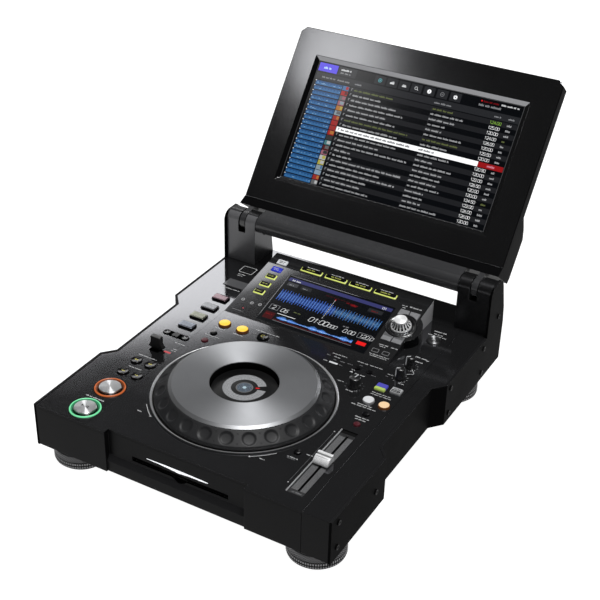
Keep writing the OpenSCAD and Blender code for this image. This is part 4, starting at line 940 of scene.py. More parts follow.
# ================================================================ deck display
def deck_ui():
    cx, cs, w, h = SCR
    mb = MB()
    mb.box(cx - w / 2 + 0.05, cs - h / 2 + 0.05, -1.5, cx + w / 2 - 0.05, cs + h / 2 - 0.05, -0.35, 0)
    put_mb("deck_screen_glass", mb, MHS, "player", UIM["bg"], replaces=("deck_display",), slot="deck_screen", bevel=0.1, segs=1)
    names = list(UIM); idx = {n: i for i, n in enumerate(names)}
    mb = MB()
    z0 = -0.34
    def X(t): return cx - w / 2 + t * w
    def Y(t): return cs + h / 2 - t * h
    def R(x0, y0, x1, y1, k, lay=0):
        mb.quad(X(x0), Y(y1), X(x1), Y(y0), z0 + 0.012 * lay, idx[k])
    R(0.012, 0.02, 0.988, 0.98, "bg", 1)
    # pale shine-free frame line and the title bar
    R(0.015, 0.030, 0.985, 0.098, "navy", 2)
    greek(mb, X(0.05), Y(0.088), 12, 2.6, z0 + 0.06, idx["text"], 31)
    digits(mb, "01", X(0.90), Y(0.090), 4.8, z0 + 0.06, idx["white"])
    # tabs
    for a, b in ((0.03, 0.13), (0.16, 0.26)):
        R(a, 0.13, b, 0.20, "panel" if a > 0.1 else "panel2", 2)
        greek(mb, X(a + 0.02), Y(0.185), 7, 1.8, z0 + 0.05, idx["grey"], int(a * 100))
    greek(mb, X(0.40), Y(0.170), 34, 1.5, z0 + 0.05, idx["dred2"], 35)
    greek(mb, X(0.60), Y(0.195), 16, 1.7, z0 + 0.05, idx["dred"], 36)
    mb.poly([(X(0.64), Y(0.215)), (X(0.70), Y(0.215)), (X(0.67), Y(0.17))], z0 + 0.06, idx["dred"])
    R(0.80, 0.14, 0.93, 0.215, "panel", 2)
    greek(mb, X(0.83), Y(0.195), 9, 1.8, z0 + 0.05, idx["dred"], 37)
    # zoomed waveform: fine separate lines, denser before the centre line
    r = random.Random(11)
    n = 112
    ym = 0.415
    for j in range(n):
        t = (j + 0.5) / n
        amp = 0.130 * (1.0 if j % 3 == 0 else (0.66 if j % 3 == 1 else 0.56)) * (0.86 + 0.14 * abs(math.sin(t * 11.0 + 0.4))) * r.uniform(0.86, 1.06)
        if t > 0.55:
            amp *= 0.86
        xa = 0.03 + 0.94 * t
        wd = (0.30 if j % 3 == 0 else 0.17) / n * 0.94
        R(xa - wd, ym - amp, xa + wd, ym + amp, "wave" if t < 0.55 else "wave_r", 2)
        R(xa - wd, ym - amp * 0.5, xa + wd, ym + amp * 0.5, "wave2" if j % 3 == 0 and t < 0.55 else ("wave" if t < 0.55 else "wave_r2"), 3)
        if t > 0.5 and j % 7 == 0:
            R(xa - 0.001, ym - 0.10, xa + 0.001, ym + 0.10, "grey", 4)
            R(xa - 0.006, ym - 0.004, xa + 0.006, ym + 0.004, "grey", 4)
    for q in range(9):
        R(0.4985, ym - 0.21 + q * 0.047, 0.5015, ym - 0.21 + q * 0.047 + 0.034, "text", 6)
    R(0.495, ym - 0.225, 0.505, ym - 0.21, "red2", 6)
    # lower read-outs
    R(0.03, 0.635, 0.115, 0.735, "grey", 2); R(0.034, 0.641, 0.111, 0.729, "bg", 3)
    digits(mb, "2", X(0.055), Y(0.720), 8, z0 + 0.06, idx["text"])
    digits(mb, "06", X(0.135), Y(0.728), 8.6, z0 + 0.06, idx["text"], shear=0.25)
    greek(mb, X(0.25), Y(0.675), 10, 1.7, z0 + 0.06, idx["dgreen"], 41)
    digits(mb, "01:00", X(0.40), Y(0.735), 10.5, z0 + 0.06, idx["text"], shear=0.25)
    digits(mb, ".000", X(0.565), Y(0.733), 7.4, z0 + 0.06, idx["text"], shear=0.25)
    greek(mb, X(0.70), Y(0.635), 8, 1.8, z0 + 0.06, idx["grey"], 43)
    digits(mb, "0.00", X(0.72), Y(0.735), 8.2, z0 + 0.06, idx["text"], shear=0.25)
    R(0.855, 0.64, 0.975, 0.745, "grey", 2); R(0.858, 0.646, 0.972, 0.739, "bg", 3)
    digits(mb, "120.0", X(0.868), Y(0.730), 7.4, z0 + 0.06, idx["text"], shear=0.25)
    # overview
    R(0.03, 0.79, 0.12, 0.93, "dred2", 2)
    greek(mb, X(0.04), Y(0.85), 9, 2.2, z0 + 0.05, idx["dred"], 44)
    m = 120
    for j in range(m):
        t = (j + 0.5) / m
        amp = 0.03 + 0.075 * abs(math.sin(t * 7 + 1.2) * math.sin(t * 23)) + 0.02 * r.random()
        x0, x1 = 0.15 + 0.70 * (t - 0.45 / m), 0.15 + 0.70 * (t + 0.45 / m)
        lump = 0.35 + 0.65 * abs(math.sin(t * 8.2 + 0.3))
        R(x0, 0.862 - amp * lump * 0.50, x1, 0.862 + amp * lump * 0.26, "wave_r", 2)
        R(x0, 0.862 - amp * lump * 0.24, x1, 0.862 + amp * lump * 0.12, "wave2", 3)
        if r.random() < 0.45:
            R(x0, 0.858, x1, 0.866, "blue3", 4)
    R(0.13, 0.9045, 0.86, 0.9105, "dred", 2); R(0.13, 0.925, 0.86, 0.930, "grey", 2)
    R(0.13, 0.775, 0.30, 0.783, "white", 3)
    R(0.885, 0.80, 0.965, 0.865, "red", 2)
    put_mb("deck_screen_picture", mb, MHS, "player", [UIM[n] for n in names], slot="deck_screen", angle=10)


def housing_trim():
    # gloss strip along the top, round the menu keys and the first source key
    mb = MB()
    holes = [(x, MENU_S, 31.4, 8.3) for x in MENU_X] + [(SRC_X, SRC_S[0], 15.4, 9.4)]
    def shift(x, s_):
        t = s_ * math.cos(HS_A) / 118.5
        if x < -110:
            return (-116.4 + 6 * t, s_)
        if x > 114:
            return (112.4 + 3 * t, s_)
        return (x, s_)
    grid_plate(mb, -112, 100.2, 115, 121.3, holes, 0.0, 0.16, shift)
    put_mb("housing_top_strip", mb, MHS, "player", MAT["housing_black"], slot="housing_gloss", angle=20)
    # thin raised frame round the screen
    mb = MB()
    cx, cs, w, h = SCR
    x0, x1, y0, y1 = cx - w / 2, cx + w / 2, cs - h / 2, cs + h / 2
    # thin raised frame round the glass
    g = 1.3
    pts_o = [(x0 - g, y0 - g), (x1 + g, y0 - g), (x1 + g, y1 + g), (x0 - g, y1 + g)]
    pts_i = [(x0, y0), (x1, y0), (x1, y1), (x0, y1)]
    v = [(p[0], p[1], 0.12) for p in pts_o] + [(p[0], p[1], 0.25) for p in pts_i] + [(p[0], p[1], -0.4) for p in pts_i]
    f = []
    for i in range(4):
        j = (i + 1) % 4
        f.append((i, j, 4 + j, 4 + i)); f.append((4 + i, 4 + j, 8 + j, 8 + i))
    mb.add(v, f, 0)
    put_mb("screen_surround", mb, MHS, "player", MAT["housing"], slot="housing_gloss", angle=20)


# ================================================================ jog wheel
def jog():
    cx, cy = JOG
    jr = 206 / 2 + 1.3
    # trim ring
    mb = MB()
    mb.lathe([(jr + 4.0, 80.6), (jr + 4.0, 81.9), (jr + 3.85, 82.35), (jr + 3.55, 82.5), (jr + 3.30, 82.42)], 256, (cx, cy), 1)
    mb.lathe([(jr + 3.30, 82.42), (jr + 0.95, 81.3), (jr + 0.75, 81.05), (jr + 0.75, 80.6)], 256, (cx, cy), 0)
    put_mb("jog_ring_turned", mb, M0, "player", [MAT["trim"], MAT["trim_dark"]], replaces=("jog_ring",), slot="trim_silver", angle=50)
    # painted shade: a near-black floor under the gap between ring and wheel
    mb = MB()
    mb.lathe([(jr + 0.74, 80.75), (40.0, 80.75)], 128, (cx, cy))
    put_mb("jog_gap_painted_shade_floor", mb, M0, "player", MAT["dark"], slot="jog_screen", angle=50)
    # rim with dimples
    pl = 173.6 / 2; pz = 99.8
    n = 720
    A = (pl + 1.4, pz - 3.6); B = (jog_r(206) - 1.0, 86.2)
    sl = math.hypot(B[0] - A[0], B[1] - A[1]); ux, uz = (B[0] - A[0]) / sl, (B[1] - A[1]) / sl
    nx, nz = -uz, ux
    rows = [(pl - 2.6, pz - 3.05), (pl + 0.3, pz - 3.05), (pl + 0.9, pz - 3.2)]
    K = 26
    prof = [("f", r, z) for r, z in rows] + [("s", i / K, 0) for i in range(K + 1)]
    R0 = 103.0
    prof += [("f", R0 - 0.45, 85.75), ("f", R0 - 0.12, 85.2), ("f", R0, 84.5), ("f", R0, 81.3), ("f", R0 - 0.6, 81.2), ("f", R0 - 8, 81.2)]
    mb = MB(); v = []; f = []
    nd = 24; rd = 8.3; cd = sl * 0.5
    for kind, a, b in prof:
        for i in range(n):
            th = 2 * math.pi * i / n
            if kind == "f":
                r, z = a, b
            else:
                s = a * sl
                r = A[0] + ux * s; z = A[1] + uz * s
                ph = (math.degrees(th) - 5) % (360 / nd)
                ph = min(ph, 360 / nd - ph)
                d = math.hypot(math.radians(ph) * r, (s - cd) * 1.04)
                if d < rd:
                    t = 1 - (d / rd) ** 2
                    dep = 1.35 * min(1.0, t * 2.0) * (0.62 + 0.38 * t)
                    r -= nx * dep; z -= nz * dep
            v.append((cx + r * math.cos(th), cy + r * math.sin(th), z))
    m = len(prof)
    for j in range(m - 1):
        for i in range(n):
            i2 = (i + 1) % n
            f.append((j * n + i, j * n + i2, (j + 1) * n + i2, (j + 1) * n + i))
    mb.add(v, f, 0)
    # small studs between the dimples
    for i in range(nd):
        th = math.radians(5 + (i + 0.5) * 360 / nd)
        for s in (0.16, 0.84):
            r = A[0] + ux * s * sl; z = A[1] + uz * s * sl
            c = Vector((cx + r * math.cos(th), cy + r * math.sin(th), z))
            nn = Vector((nx * math.cos(th), nx * math.sin(th), nz))
            tt = Vector((-math.sin(th), math.cos(th), 0)); bb = nn.cross(tt)
            pts = [c + (tt * math.cos(2 * math.pi * q / 12) + bb * math.sin(2 * math.pi * q / 12)) * 0.95 - nn * 0.1 for q in range(12)]
            pt2 = [c + (tt * math.cos(2 * math.pi * q / 12) + bb * math.sin(2 * math.pi * q / 12)) * 0.8 + nn * 0.16 for q in range(12)]
            pt3 = [c + (tt * math.cos(2 * math.pi * q / 12) + bb * math.sin(2 * math.pi * q / 12)) * 0.4 - nn * 0.05 for q in range(12)]
            mb.add([tuple(p) for p in pts + pt2 + pt3], [(q, (q + 1) % 12, 12 + (q + 1) % 12, 12 + q) for q in range(12)] + [(12 + q, 12 + (q + 1) % 12, 24 + (q + 1) % 12, 24 + q) for q in range(12)] + [tuple(range(24, 36))], 1)
    # wall of the well and underside
    mb.lathe([(41.4, 91.2), (41.4, 84.0), (95, 82.4), (95, 81.3)], 128, (cx, cy), 0)
    put_mb("jog_rim_dimpled", mb, M0, "jog_wheel", [MAT["rim"], MAT["rim_pit"]], replaces=("jog_rim",), slot="jog_rubber", angle=45)
    # platter
    mb = MB()
    mb.lathe([(pl - 2.8, pz - 3.0), (pl - 0.15, pz - 2.9), (pl, pz - 2.6), (pl - 0.15, pz - 2.25), (pl - 3.6, pz - 0.28), (pl - 4.0, pz - 0.06)], 256, (cx, cy), 2)
    mb.lathe([(pl - 4.0, pz - 0.06), (pl - 4.6, pz), (70, pz), (55, pz), (42, pz), (40.4, pz), (39.95, pz - 0.35), (39.9, pz - 1.0)], 256, (cx, cy), 0)
    mb.lathe([(39.9, pz - 1.0), (39.9, pz - 8.6), (41.4, pz - 8.6)], 160, (cx, cy), 1)
    put_mb("jog_platter_spun", mb, M0, "jog_wheel", [MAT["platter"], MAT["well"], MAT["platter_edge"]], replaces=("jog_platter",), slot="platter_metal", angle=30)
    # centre display: fixed, at the bottom of the well
    z = 91.5
    mb = MB()
    mb.lathe([(0, z), (26.0, z), (26.3, z - 0.1), (38.0, z - 0.4), (38.4, z - 1.0), (38.4, 86.6), (10, 86.6), (10, 81.0)], 128, (cx, cy), 0)
    g0 = math.radians(14); g1 = math.radians(36)
    mb.ringflat(cx, cy, 15.4, 25.2, z + 0.05, 1, 160, a0=g1, a1=2 * math.pi + g0)
    for i in range(110):                       # fine radial ticks of the ring
        a = g1 + (2 * math.pi - (g1 - g0)) * (i + 0.5) / 110
        da = 0.006
        mb.add([(cx + 15.8 * math.cos(a - da), cy + 15.8 * math.sin(a - da), z + 0.09), (cx + 24.9 * math.cos(a - da * 0.8), cy + 24.9 * math.sin(a - da * 0.8), z + 0.09), (cx + 24.9 * math.cos(a + da * 0.8), cy + 24.9 * math.sin(a + da * 0.8), z + 0.09), (cx + 15.8 * math.cos(a + da), cy + 15.8 * math.sin(a + da), z + 0.09)], [(0, 1, 2, 3)], 2)
    a = math.radians(25)
    mb.add([(cx + 13.0 * math.cos(a - 0.10), cy + 13.0 * math.sin(a - 0.10), z + 0.06), (cx + 17.5 * math.cos(a - 0.03), cy + 17.5 * math.sin(a - 0.03), z + 0.06), (cx + 17.5 * math.cos(a + 0.05), cy + 17.5 * math.sin(a + 0.05), z + 0.06), (cx + 13.0 * math.cos(a + 0.10), cy + 13.0 * math.sin(a + 0.10), z + 0.06)], [(0, 1, 2, 3)], 5)
    for r0, r1, k in ((8.9, 9.8, 1), (7.1, 8.2, 6), (5.3, 6.3, 6), (3.4, 4.5, 6), (0.0, 2.4, 3)):
        mb.ringflat(cx, cy, max(r0, 0.001), r1, z + 0.06, k, 64)
    for i in range(4):
        a = math.radians(45 + 90 * i)
        mb.add([(cx + 2.6 * math.cos(a - 0.16), cy + 2.6 * math.sin(a - 0.16), z + 0.10), (cx + 8.4 * math.cos(a - 0.05), cy + 8.4 * math.sin(a - 0.05), z + 0.10), (cx + 8.4 * math.cos(a + 0.05), cy + 8.4 * math.sin(a + 0.05), z + 0.10), (cx + 2.6 * math.cos(a + 0.16), cy + 2.6 * math.sin(a + 0.16), z + 0.10)], [(0, 1, 2, 3)], 6)
    put_mb("jog_centre_display", mb, M0, "player", [MAT["well"], UIM["grey"], UIM["text"], UIM["pale"], UIM["text"], UIM["red"], UIM["slate"]], replaces=("jog_display",), slot="jog_screen", angle=30)


def jog_r(d):
    return d / 2.0


# ================================================================ buttons
def big_buttons():
    mb = MB()
    for k, p in ((0, PLAY), (1, CUE)):
        mb.lathe([(14.8, 78.0), (14.8, 80.2), (15.9, 80.9), (16.5, 81.6)], 128, p, 3 + k)
        mb.lathe([(16.5, 81.6), (16.8, 82.1), (17.3, 82.3), (17.8, 82.05), (18.15, 81.3), (18.2, 80.5)], 128, p, k)
        # a flat near-black ring round each light ring: painted shade
        mb.lathe([(18.15, 80.62), (19.3, 80.62)], 128, p, 2)
    put_mb("button_light_rings", mb, M0, "player", [MAT["ring_play"], MAT["ring_cue"], MAT["dark"], MAT["ring_play_in"], MAT["ring_cue_in"]], replaces=("light_rings",), slot="glow_ring", angle=40)
    for nm, p, m in (("play", PLAY, "cap_play"), ("cue", CUE, "cap_cue")):
        mb = MB()
        mb.lathe([(14.2, 76), (14.2, 80.8), (14.0, 81.3), (13.5, 81.7), (13.1, 81.8)], 128, p, 1)
        mb.lathe([(13.1, 81.8), (12.9, 82.6), (12.4, 83.0), (8, 83.25), (3, 83.4), (0, 83.42)], 128, p, 0)
        if nm == "play":
            zz = 83.46
            mb.poly([(p[0] - 5.2, p[1] + 2.3), (p[0] - 5.2, p[1] - 1.3), (p[0] - 2.2, p[1] + 0.5)], zz, 1)
            for q in (1.6, 3.4):
                mb.quad(p[0] + q, p[1] - 1.3, p[0] + q + 0.9, p[1] + 2.3, zz, 1)
        put_mb(nm + "_button_cap", mb, M0, nm + "_button_part", [MAT[m], MAT["key"]], replaces=(nm + "_button",), slot="cap_metal", angle=30)


def round_key(name, node, p, r, h, mats, dish=0.6, icon=None, body=None, slot="key_black", rim=None):
    mb = MB()
    z = DZ + h
    prof = [(r, 77.2), (r, z - 0.9), (r - 0.25, z - 0.35), (r - 0.8, z), (r * 0.72, z - dish * 0.25), (r * 0.4, z - dish * 0.8), (0, z - dish)]
    if rim:
        mb.lathe(prof[:4], 64, p, 1); mb.lathe(prof[3:], 64, p, 0)
    else:
        mb.lathe(prof, 64, p, 0)
    if icon:
        icon(mb, p, z - dish + 0.12)
    return put_mb(name, mb, M0, body or node + "_part", mats, replaces=(node,), slot=slot, angle=35)


def tri(mb, x, y, s, z, k, left=False):
    d = -1 if left else 1
    mb.poly([(x - d * s * 0.5, y - s * 0.5), (x + d * s * 0.5, y), (x - d * s * 0.5, y + s * 0.5)] if not left else [(x + s * 0.5, y + s * 0.5), (x - s * 0.5, y), (x + s * 0.5, y - s * 0.5)], z, k)


def keys():
    ic = MAT["ink_yel"]
    def icon(kind):
        def fn(mb, p, z):
            x, y = p
            if kind == "prev":
                mb.quad(x - 3.0, y - 1.5, x - 2.4, y + 1.5, z, 1); tri(mb, x - 0.9, y, 2.6, z, 1, True); tri(mb, x + 1.7, y, 2.6, z, 1, True)
            if kind == "next":
                mb.quad(x + 2.4, y - 1.5, x + 3.0, y + 1.5, z, 1); tri(mb, x - 1.7, y, 2.6, z, 1); tri(mb, x + 0.9, y, 2.6, z, 1)
            if kind == "rew":
                tri(mb, x - 1.5, y, 2.8, z, 1, True); tri(mb, x + 1.3, y, 2.8, z, 1, True)
            if kind == "ffw":
                tri(mb, x - 1.3, y, 2.8, z, 1); tri(mb, x + 1.5, y, 2.8, z, 1)
        return fn
    for node, p, kind in (("search_back_key", TRK[0], "rew"), ("search_next_key", TRK[1], "ffw"), ("track_back_key", TRK[2], "prev"), ("track_next_key", TRK[3], "next")):
        round_key(node + "_cap", node, p, 7.1, 2.2, [MAT["key"], ic], 0.7, icon(kind))
    for node, p in (("loop_in_key", LOOPS[0]), ("loop_out_key", LOOPS[1])):
        round_key(node + "_cap", node, p, 7.8, 2.6, [MAT["k_yellow"], MAT["k_amber_rim"]], -0.25, slot="key_yellow", rim=True)
    def rl(mb, p, z):
        mb.ringflat(p[0], p[1], 1.9, 2.5, z + 0.25, 1, 24, a0=0.6, a1=5.6); tri(mb, p[0] + 2.0, p[1] + 1.6, 1.6, z + 0.25, 1)
    round_key("reloop_key_cap", "reloop_key", RELOOP, 7.4, 2.4, [MAT["key"], MAT["ink_yel"]], 0.6, rl)
    round_key("eject_button_cap", "eject_button", EJECT, 8.8, 2.2, [MAT["cap_eject"], MAT["ink"]], 0.8,
              lambda mb, p, z: (mb.poly([(p[0] - 2.4, p[1] - 0.2), (p[0] + 2.4, p[1] - 0.2), (p[0], p[1] + 2.2)], z + 0.5, 1), mb.quad(p[0] - 2.4, p[1] - 1.6, p[0] + 2.4, p[1] - 0.9, z + 0.5, 1)))
    round_key("round_key_white_cap", "round_key_white", KWH, 6.9, 2.2, [MAT["k_white"], MAT["k_silver"]], 0.4, slot="key_white", rim=True)
    round_key("round_key_tan_cap", "round_key_tan", KTN, 6.9, 2.2, [MAT["k_tan"], MAT["k_amber_rim"]], 0.4, slot="key_tan", rim=True)
    # grouped small round keys
    for name, node, pts, r, h in (("bank_keys_caps", "bank_keys", BANK, 4.3, 1.6), ("memory_keys_caps", "memory_keys", MEM_K, 3.4, 1.4)):
        mb = MB()
        for p in pts:
            z = DZ + h
            mb.lathe([(r, 77.2), (r, z - 0.6), (r - 0.5, z), (r * 0.6, z + 0.15), (0, z + 0.2)], 40, p, 1 if node == "bank_keys" and p == pts[1] else 0)
        put_mb(name, mb, M0, node + "_part", [MAT["key"], MAT["led_dim"]], replaces=(node,), slot="key_black", angle=35)
    mb = MB()
    for i, p in enumerate(TEMPO_K):
        r, z = 4.0, DZ + 1.6
        mb.lathe([(r, 77.2), (r, z - 0.6), (r - 0.5, z), (r * 0.6, z - 0.15), (0, z - 0.3)], 40, p, 1 if i == 1 else 0)
    put_mb("tempo_keys_caps", mb, M0, "tempo_keys_part", [MAT["key"], MAT["led_dim"]], replaces=("tempo_keys",), slot="key_black", angle=35)
    # hot cue keys: pillow-topped bars
    for n, y, m in (("a", HOT_Y[0], "k_rose"), ("b", HOT_Y[1], "k_grey"), ("c", HOT_Y[2], "k_green"), ("d", HOT_Y[3], "k_blue")):
        mb = MB()
        w, d, h = 20.4, 12.2, 2.8
        rings = []
        for g, z in ((0, 77.2), (0, DZ + h - 0.45), (0.16, DZ + h - 0.15), (0.55, DZ + h), (2.2, DZ + h + 0.0)):
            rings.append([(x, yy, z) for x, yy in rrect(HOT_X, y, w - 2 * g, d - 2 * g, max(0.3, 0.9 - g * 0.3), 4)])
        loft(mb, rings[:2], 1, cap_hi=False)
        loft(mb, rings[1:], 0, cap_lo=False)
        put_mb(f"hot_cue_cap_{n}", mb, M0, f"hot_cue_key_{n}_part", [MAT[m], MAT["key"]], replaces=(f"hot_cue_key_{n}",), slot={"a": "key_rose", "b": "key_grey", "c": "key_green", "d": "key_blue"}[n], angle=40)
    # call keys: recess, two round, one square
    mb = MB()
    for s in (-1, 1):
        p = (CALL[0] + s * 13.2, CALL[1])
        mb.lathe([(4.6, 74), (4.6, DZ + 1.0), (4.1, DZ + 1.6), (2, DZ + 1.4), (0, DZ + 1.3)], 40, p, 0)
        tri(mb, p[0], p[1], 2.6, DZ + 1.62, 1, s < 0)
    rings = [[(x, y, z) for x, y in rrect(CALL[0], CALL[1], 8.8 - 2 * g, 8.8 - 2 * g, 0.8, 3)] for g, z in ((0, 74), (0, DZ + 0.9), (0.4, DZ + 1.4), (1.4, DZ + 1.4))]
    loft(mb, rings, 0)
    put_mb("call_keys_caps", mb, M0, "call_keys_part", [MAT["key"], MAT["ink"]], replaces=("call_keys",), slot="key_black", angle=35)
    # pill-shaped well under them, its floor near-black: painted shade
    mb = MB()
    pts = []
    for s, cx in ((1, CALL[0] + 13.2), (-1, CALL[0] - 13.2)):
        for i in range(17):
            a = math.radians((-90 if s > 0 else 90) + 180 * i / 16)
            pts.append((cx + 6.6 * math.cos(a), CALL[1] + 6.6 * math.sin(a)))
    mb.poly(pts, 72.2, 0)
    put_mb("call_keys_painted_shade_well", mb, M0, "player", MAT["dark"], slot="black_moulding", angle=30)
    # two-colour sync key and the silver one
    mb = MB()
    x, y = SYNC
    for yy, d, k in ((y + 2.5, 7.4, 0), (y - 3.9, 4.8, 1)):
        rings = [[(a, b, z) for a, b in rrect(x, yy, 13 - 2 * g, d - 2 * g, 0.6, 3)] for g, z in ((0, 77.3), (0, DZ + 1.3), (0.3, DZ + 1.75), (0.9, DZ + 1.75))]
        loft(mb, rings, k)
    put_mb("sync_keys_caps", mb, M0, "sync_keys_part", [MAT["k_indigo"], MAT["k_lime"]], replaces=("sync_keys",), slot="key_sync", angle=40)
    mb = MB()
    x, y = MODE
    rings = [[(a, b, z) for a, b in rrect(x, y, 13 - 2 * g, 10.2 - 2 * g, 0.6, 3)] for g, z in ((0, 77.3), (0, DZ + 1.3), (0.3, DZ + 1.75), (0.9, DZ + 1.75))]
    loft(mb, rings, 0)
    mb.quad(x - 5.2, y - 4.0, x + 5.2, y - 0.3, DZ + 1.79, 1); greek(mb, x - 4.4, y + 1.1, 8.6, 1.7, DZ + 1.8, 1, 51); greek(mb, x - 4.4, y - 2.9, 8.6, 1.5, DZ + 1.83, 0, 52)
    put_mb("sync_mode_cap", mb, M0, "sync_mode_key_part", [MAT["k_silver"], MAT["key"]], replaces=("sync_mode_key",), slot="key_silver", angle=40)
    # housing keys
    mb = MB()
    for i, s in enumerate(SRC_S):
        w, d = 14.4, 8.4
        if i < 2:
            rings = [[(a, b, z) for a, b in rrect(SRC_X, s, w - 2 * g, d - 2 * g, 1.6, 5)] for g, z in ((0, -3.4), (0, 0.75), (0.35, 1.25), (1.1, 1.4))]
            loft(mb, rings, 1 if i == 0 else 2)
            greek(mb, SRC_X - 4.6, s + 0.2, 9, 1.7, 1.43, 0 if i == 0 else 5, 61 + i)
            greek(mb, SRC_X - 3.6, s - 2.2, 7, 1.5, 1.43, 0 if i == 0 else 5, 161 + i)
        else:
            rings = [[(a, b, z) for a, b in rrect(SRC_X, s, w - 2 * g, d - 2 * g, 1.5, 5)] for g, z in ((0, -3.4), (0, 0.55), (0.3, 0.85), (1.2, 0.9))]
            loft(mb, rings, 3)
            rings = [[(a, b, z) for a, b in rrect(SRC_X - 0.15, s + 0.45, w - 1.8 - 2 * g, d - 1.8 - 2 * g, 1.1, 4)] for g, z in ((0, 0.88), (0.05, 1.2), (0.3, 1.4), (1.2, 1.4))]
            loft(mb, rings, 0)
            greek(mb, SRC_X - 4.0, s - 0.3, 7.2, 1.8, 1.43, 4, 64 + i)
    put_mb("source_keys_caps", mb, MHS, "source_keys_part", [MAT["key"], MAT["k_white"], MAT["k_blue_lit"], MAT["lime_edge"], MAT["ink_lime"], MAT["ink"]], replaces=("source_keys",), slot="key_white", angle=40)
    mb = MB()
    for i, x in enumerate(MENU_X):
        w, d, s = 30.4, 7.3, MENU_S
        rings = [[(a, b, z) for a, b in rrect(x, s, w - 2 * g, d - 2 * g, 1.7, 6)] for g, z in ((0, -3.4), (0, 0.6), (0.3, 0.9), (1.2, 0.95))]
        loft(mb, rings, 1)
        # black cap set towards the back, so the lit edge shows in front and at the sides
        rings = [[(a, b, z) for a, b in rrect(x, s + 0.45, w - 1.5 - 2 * g, d - 1.45 - 2 * g, 1.4, 5)] for g, z in ((0, 0.93), (0.05, 1.2), (0.3, 1.4), (1.2, 1.4))]
        loft(mb, rings, 0)
        greek(mb, x - 7, s - 0.3, 14, 2.2, 1.43, 2, 71 + i)
    put_mb("menu_keys_caps", mb, MHS, "menu_keys_part", [MAT["key"], MAT["lime_edge"], MAT["ink_lime"]], replaces=("menu_keys",), slot="key_black", angle=40)
    # selector keys: four plates hollowed round the knob
    mb = MB()
    for x, y, w, d in SELK:
        sx = 1 if x > SEL[0] else -1
        sy = 1 if y > SEL[1] else -1
        xi, xo = x - sx * w / 2, x + sx * w / 2
        yi, yo = y - sy * d / 2, y + sy * d / 2
        def edge(px):
            dx = min(abs(px - SEL[0]), 20.55)
            t = SEL[1] + sy * math.sqrt(20.6 ** 2 - dx * dx)
            return t if sy * (t - yi) > 0 else yi
        def outline(g):
            xa, xb = xi + sx * g, xo - sx * g
            lo = []
            for t in range(15):
                px = xa + (xb - xa) * t / 14
                lo.append((px, edge(px) + sy * g))
            return lo + [(xb, yo - sy * g), (xa, yo - sy * g)]
        rings = []
        for g, z in ((0.0, -3.4), (0.0, 0.95), (0.12, 1.28), (0.5, 1.4)):
            o = outline(g)
            rings.append([(q[0], q[1], z) for q in (o if sx * sy > 0 else o[::-1])])
        loft(mb, rings, 0)
        if sy < 0:                              # the darker half beside the knob
            xa, xb = xi + sx * 0.6, xo - sx * 0.6
            for t in range(12):
                p0, p1 = xa + (xb - xa) * t / 12, xa + (xb - xa) * (t + 1) / 12
                e0, e1 = edge(p0) - 0.6, edge(p1) - 0.6
                yb_ = y + 0.4
                if e0 > yb_ and e1 > yb_:
                    q = [(p0, yb_, 1.41), (p1, yb_, 1.41), (p1, e1, 1.41), (p0, e0, 1.41)]
                    mb.add(q if sx > 0 else q[::-1], [(0, 1, 2, 3)], 1)
    put_mb("selector_keys_caps", mb, MHS, "selector_keys_part", [MAT["k_sel"], MAT["k_sel2"]], replaces=("selector_keys",), slot="key_grey", angle=40)


# ================================================================ knobs
def fluted(mb, c, prof, n_fl, depth, z_lo, z_hi, k=0, n=None, k_top=None):
    """Lathe with flutes between z_lo and z_hi."""
    n = n or n_fl * 8
    v, f, rows, kk = [], [], [], []
    for (r, z) in prof:
        if r < 1e-6:
            rows.append([len(v)] * n); v.append((c[0], c[1], z)); continue
        row = []
        for i in range(n):
            a = 2 * math.pi * i / n
            rr = r
            if z_lo <= z <= z_hi and r > 2:
                rr = r - depth * (0.5 - 0.5 * math.cos(a * n_fl)) ** 0.8
            row.append(len(v)); v.append((c[0] + rr * math.cos(a), c[1] + rr * math.sin(a), z))
        rows.append(row)
    for j in range(len(prof) - 1):
        for i in range(n):
            i2 = (i + 1) % n
            q = []
            for t in (rows[j][i], rows[j][i2], rows[j + 1][i2], rows[j + 1][i]):
                if t not in q:
                    q.append(t)
            if len(q) > 2:
                f.append(tuple(q))
    mb.add(v, f, k)


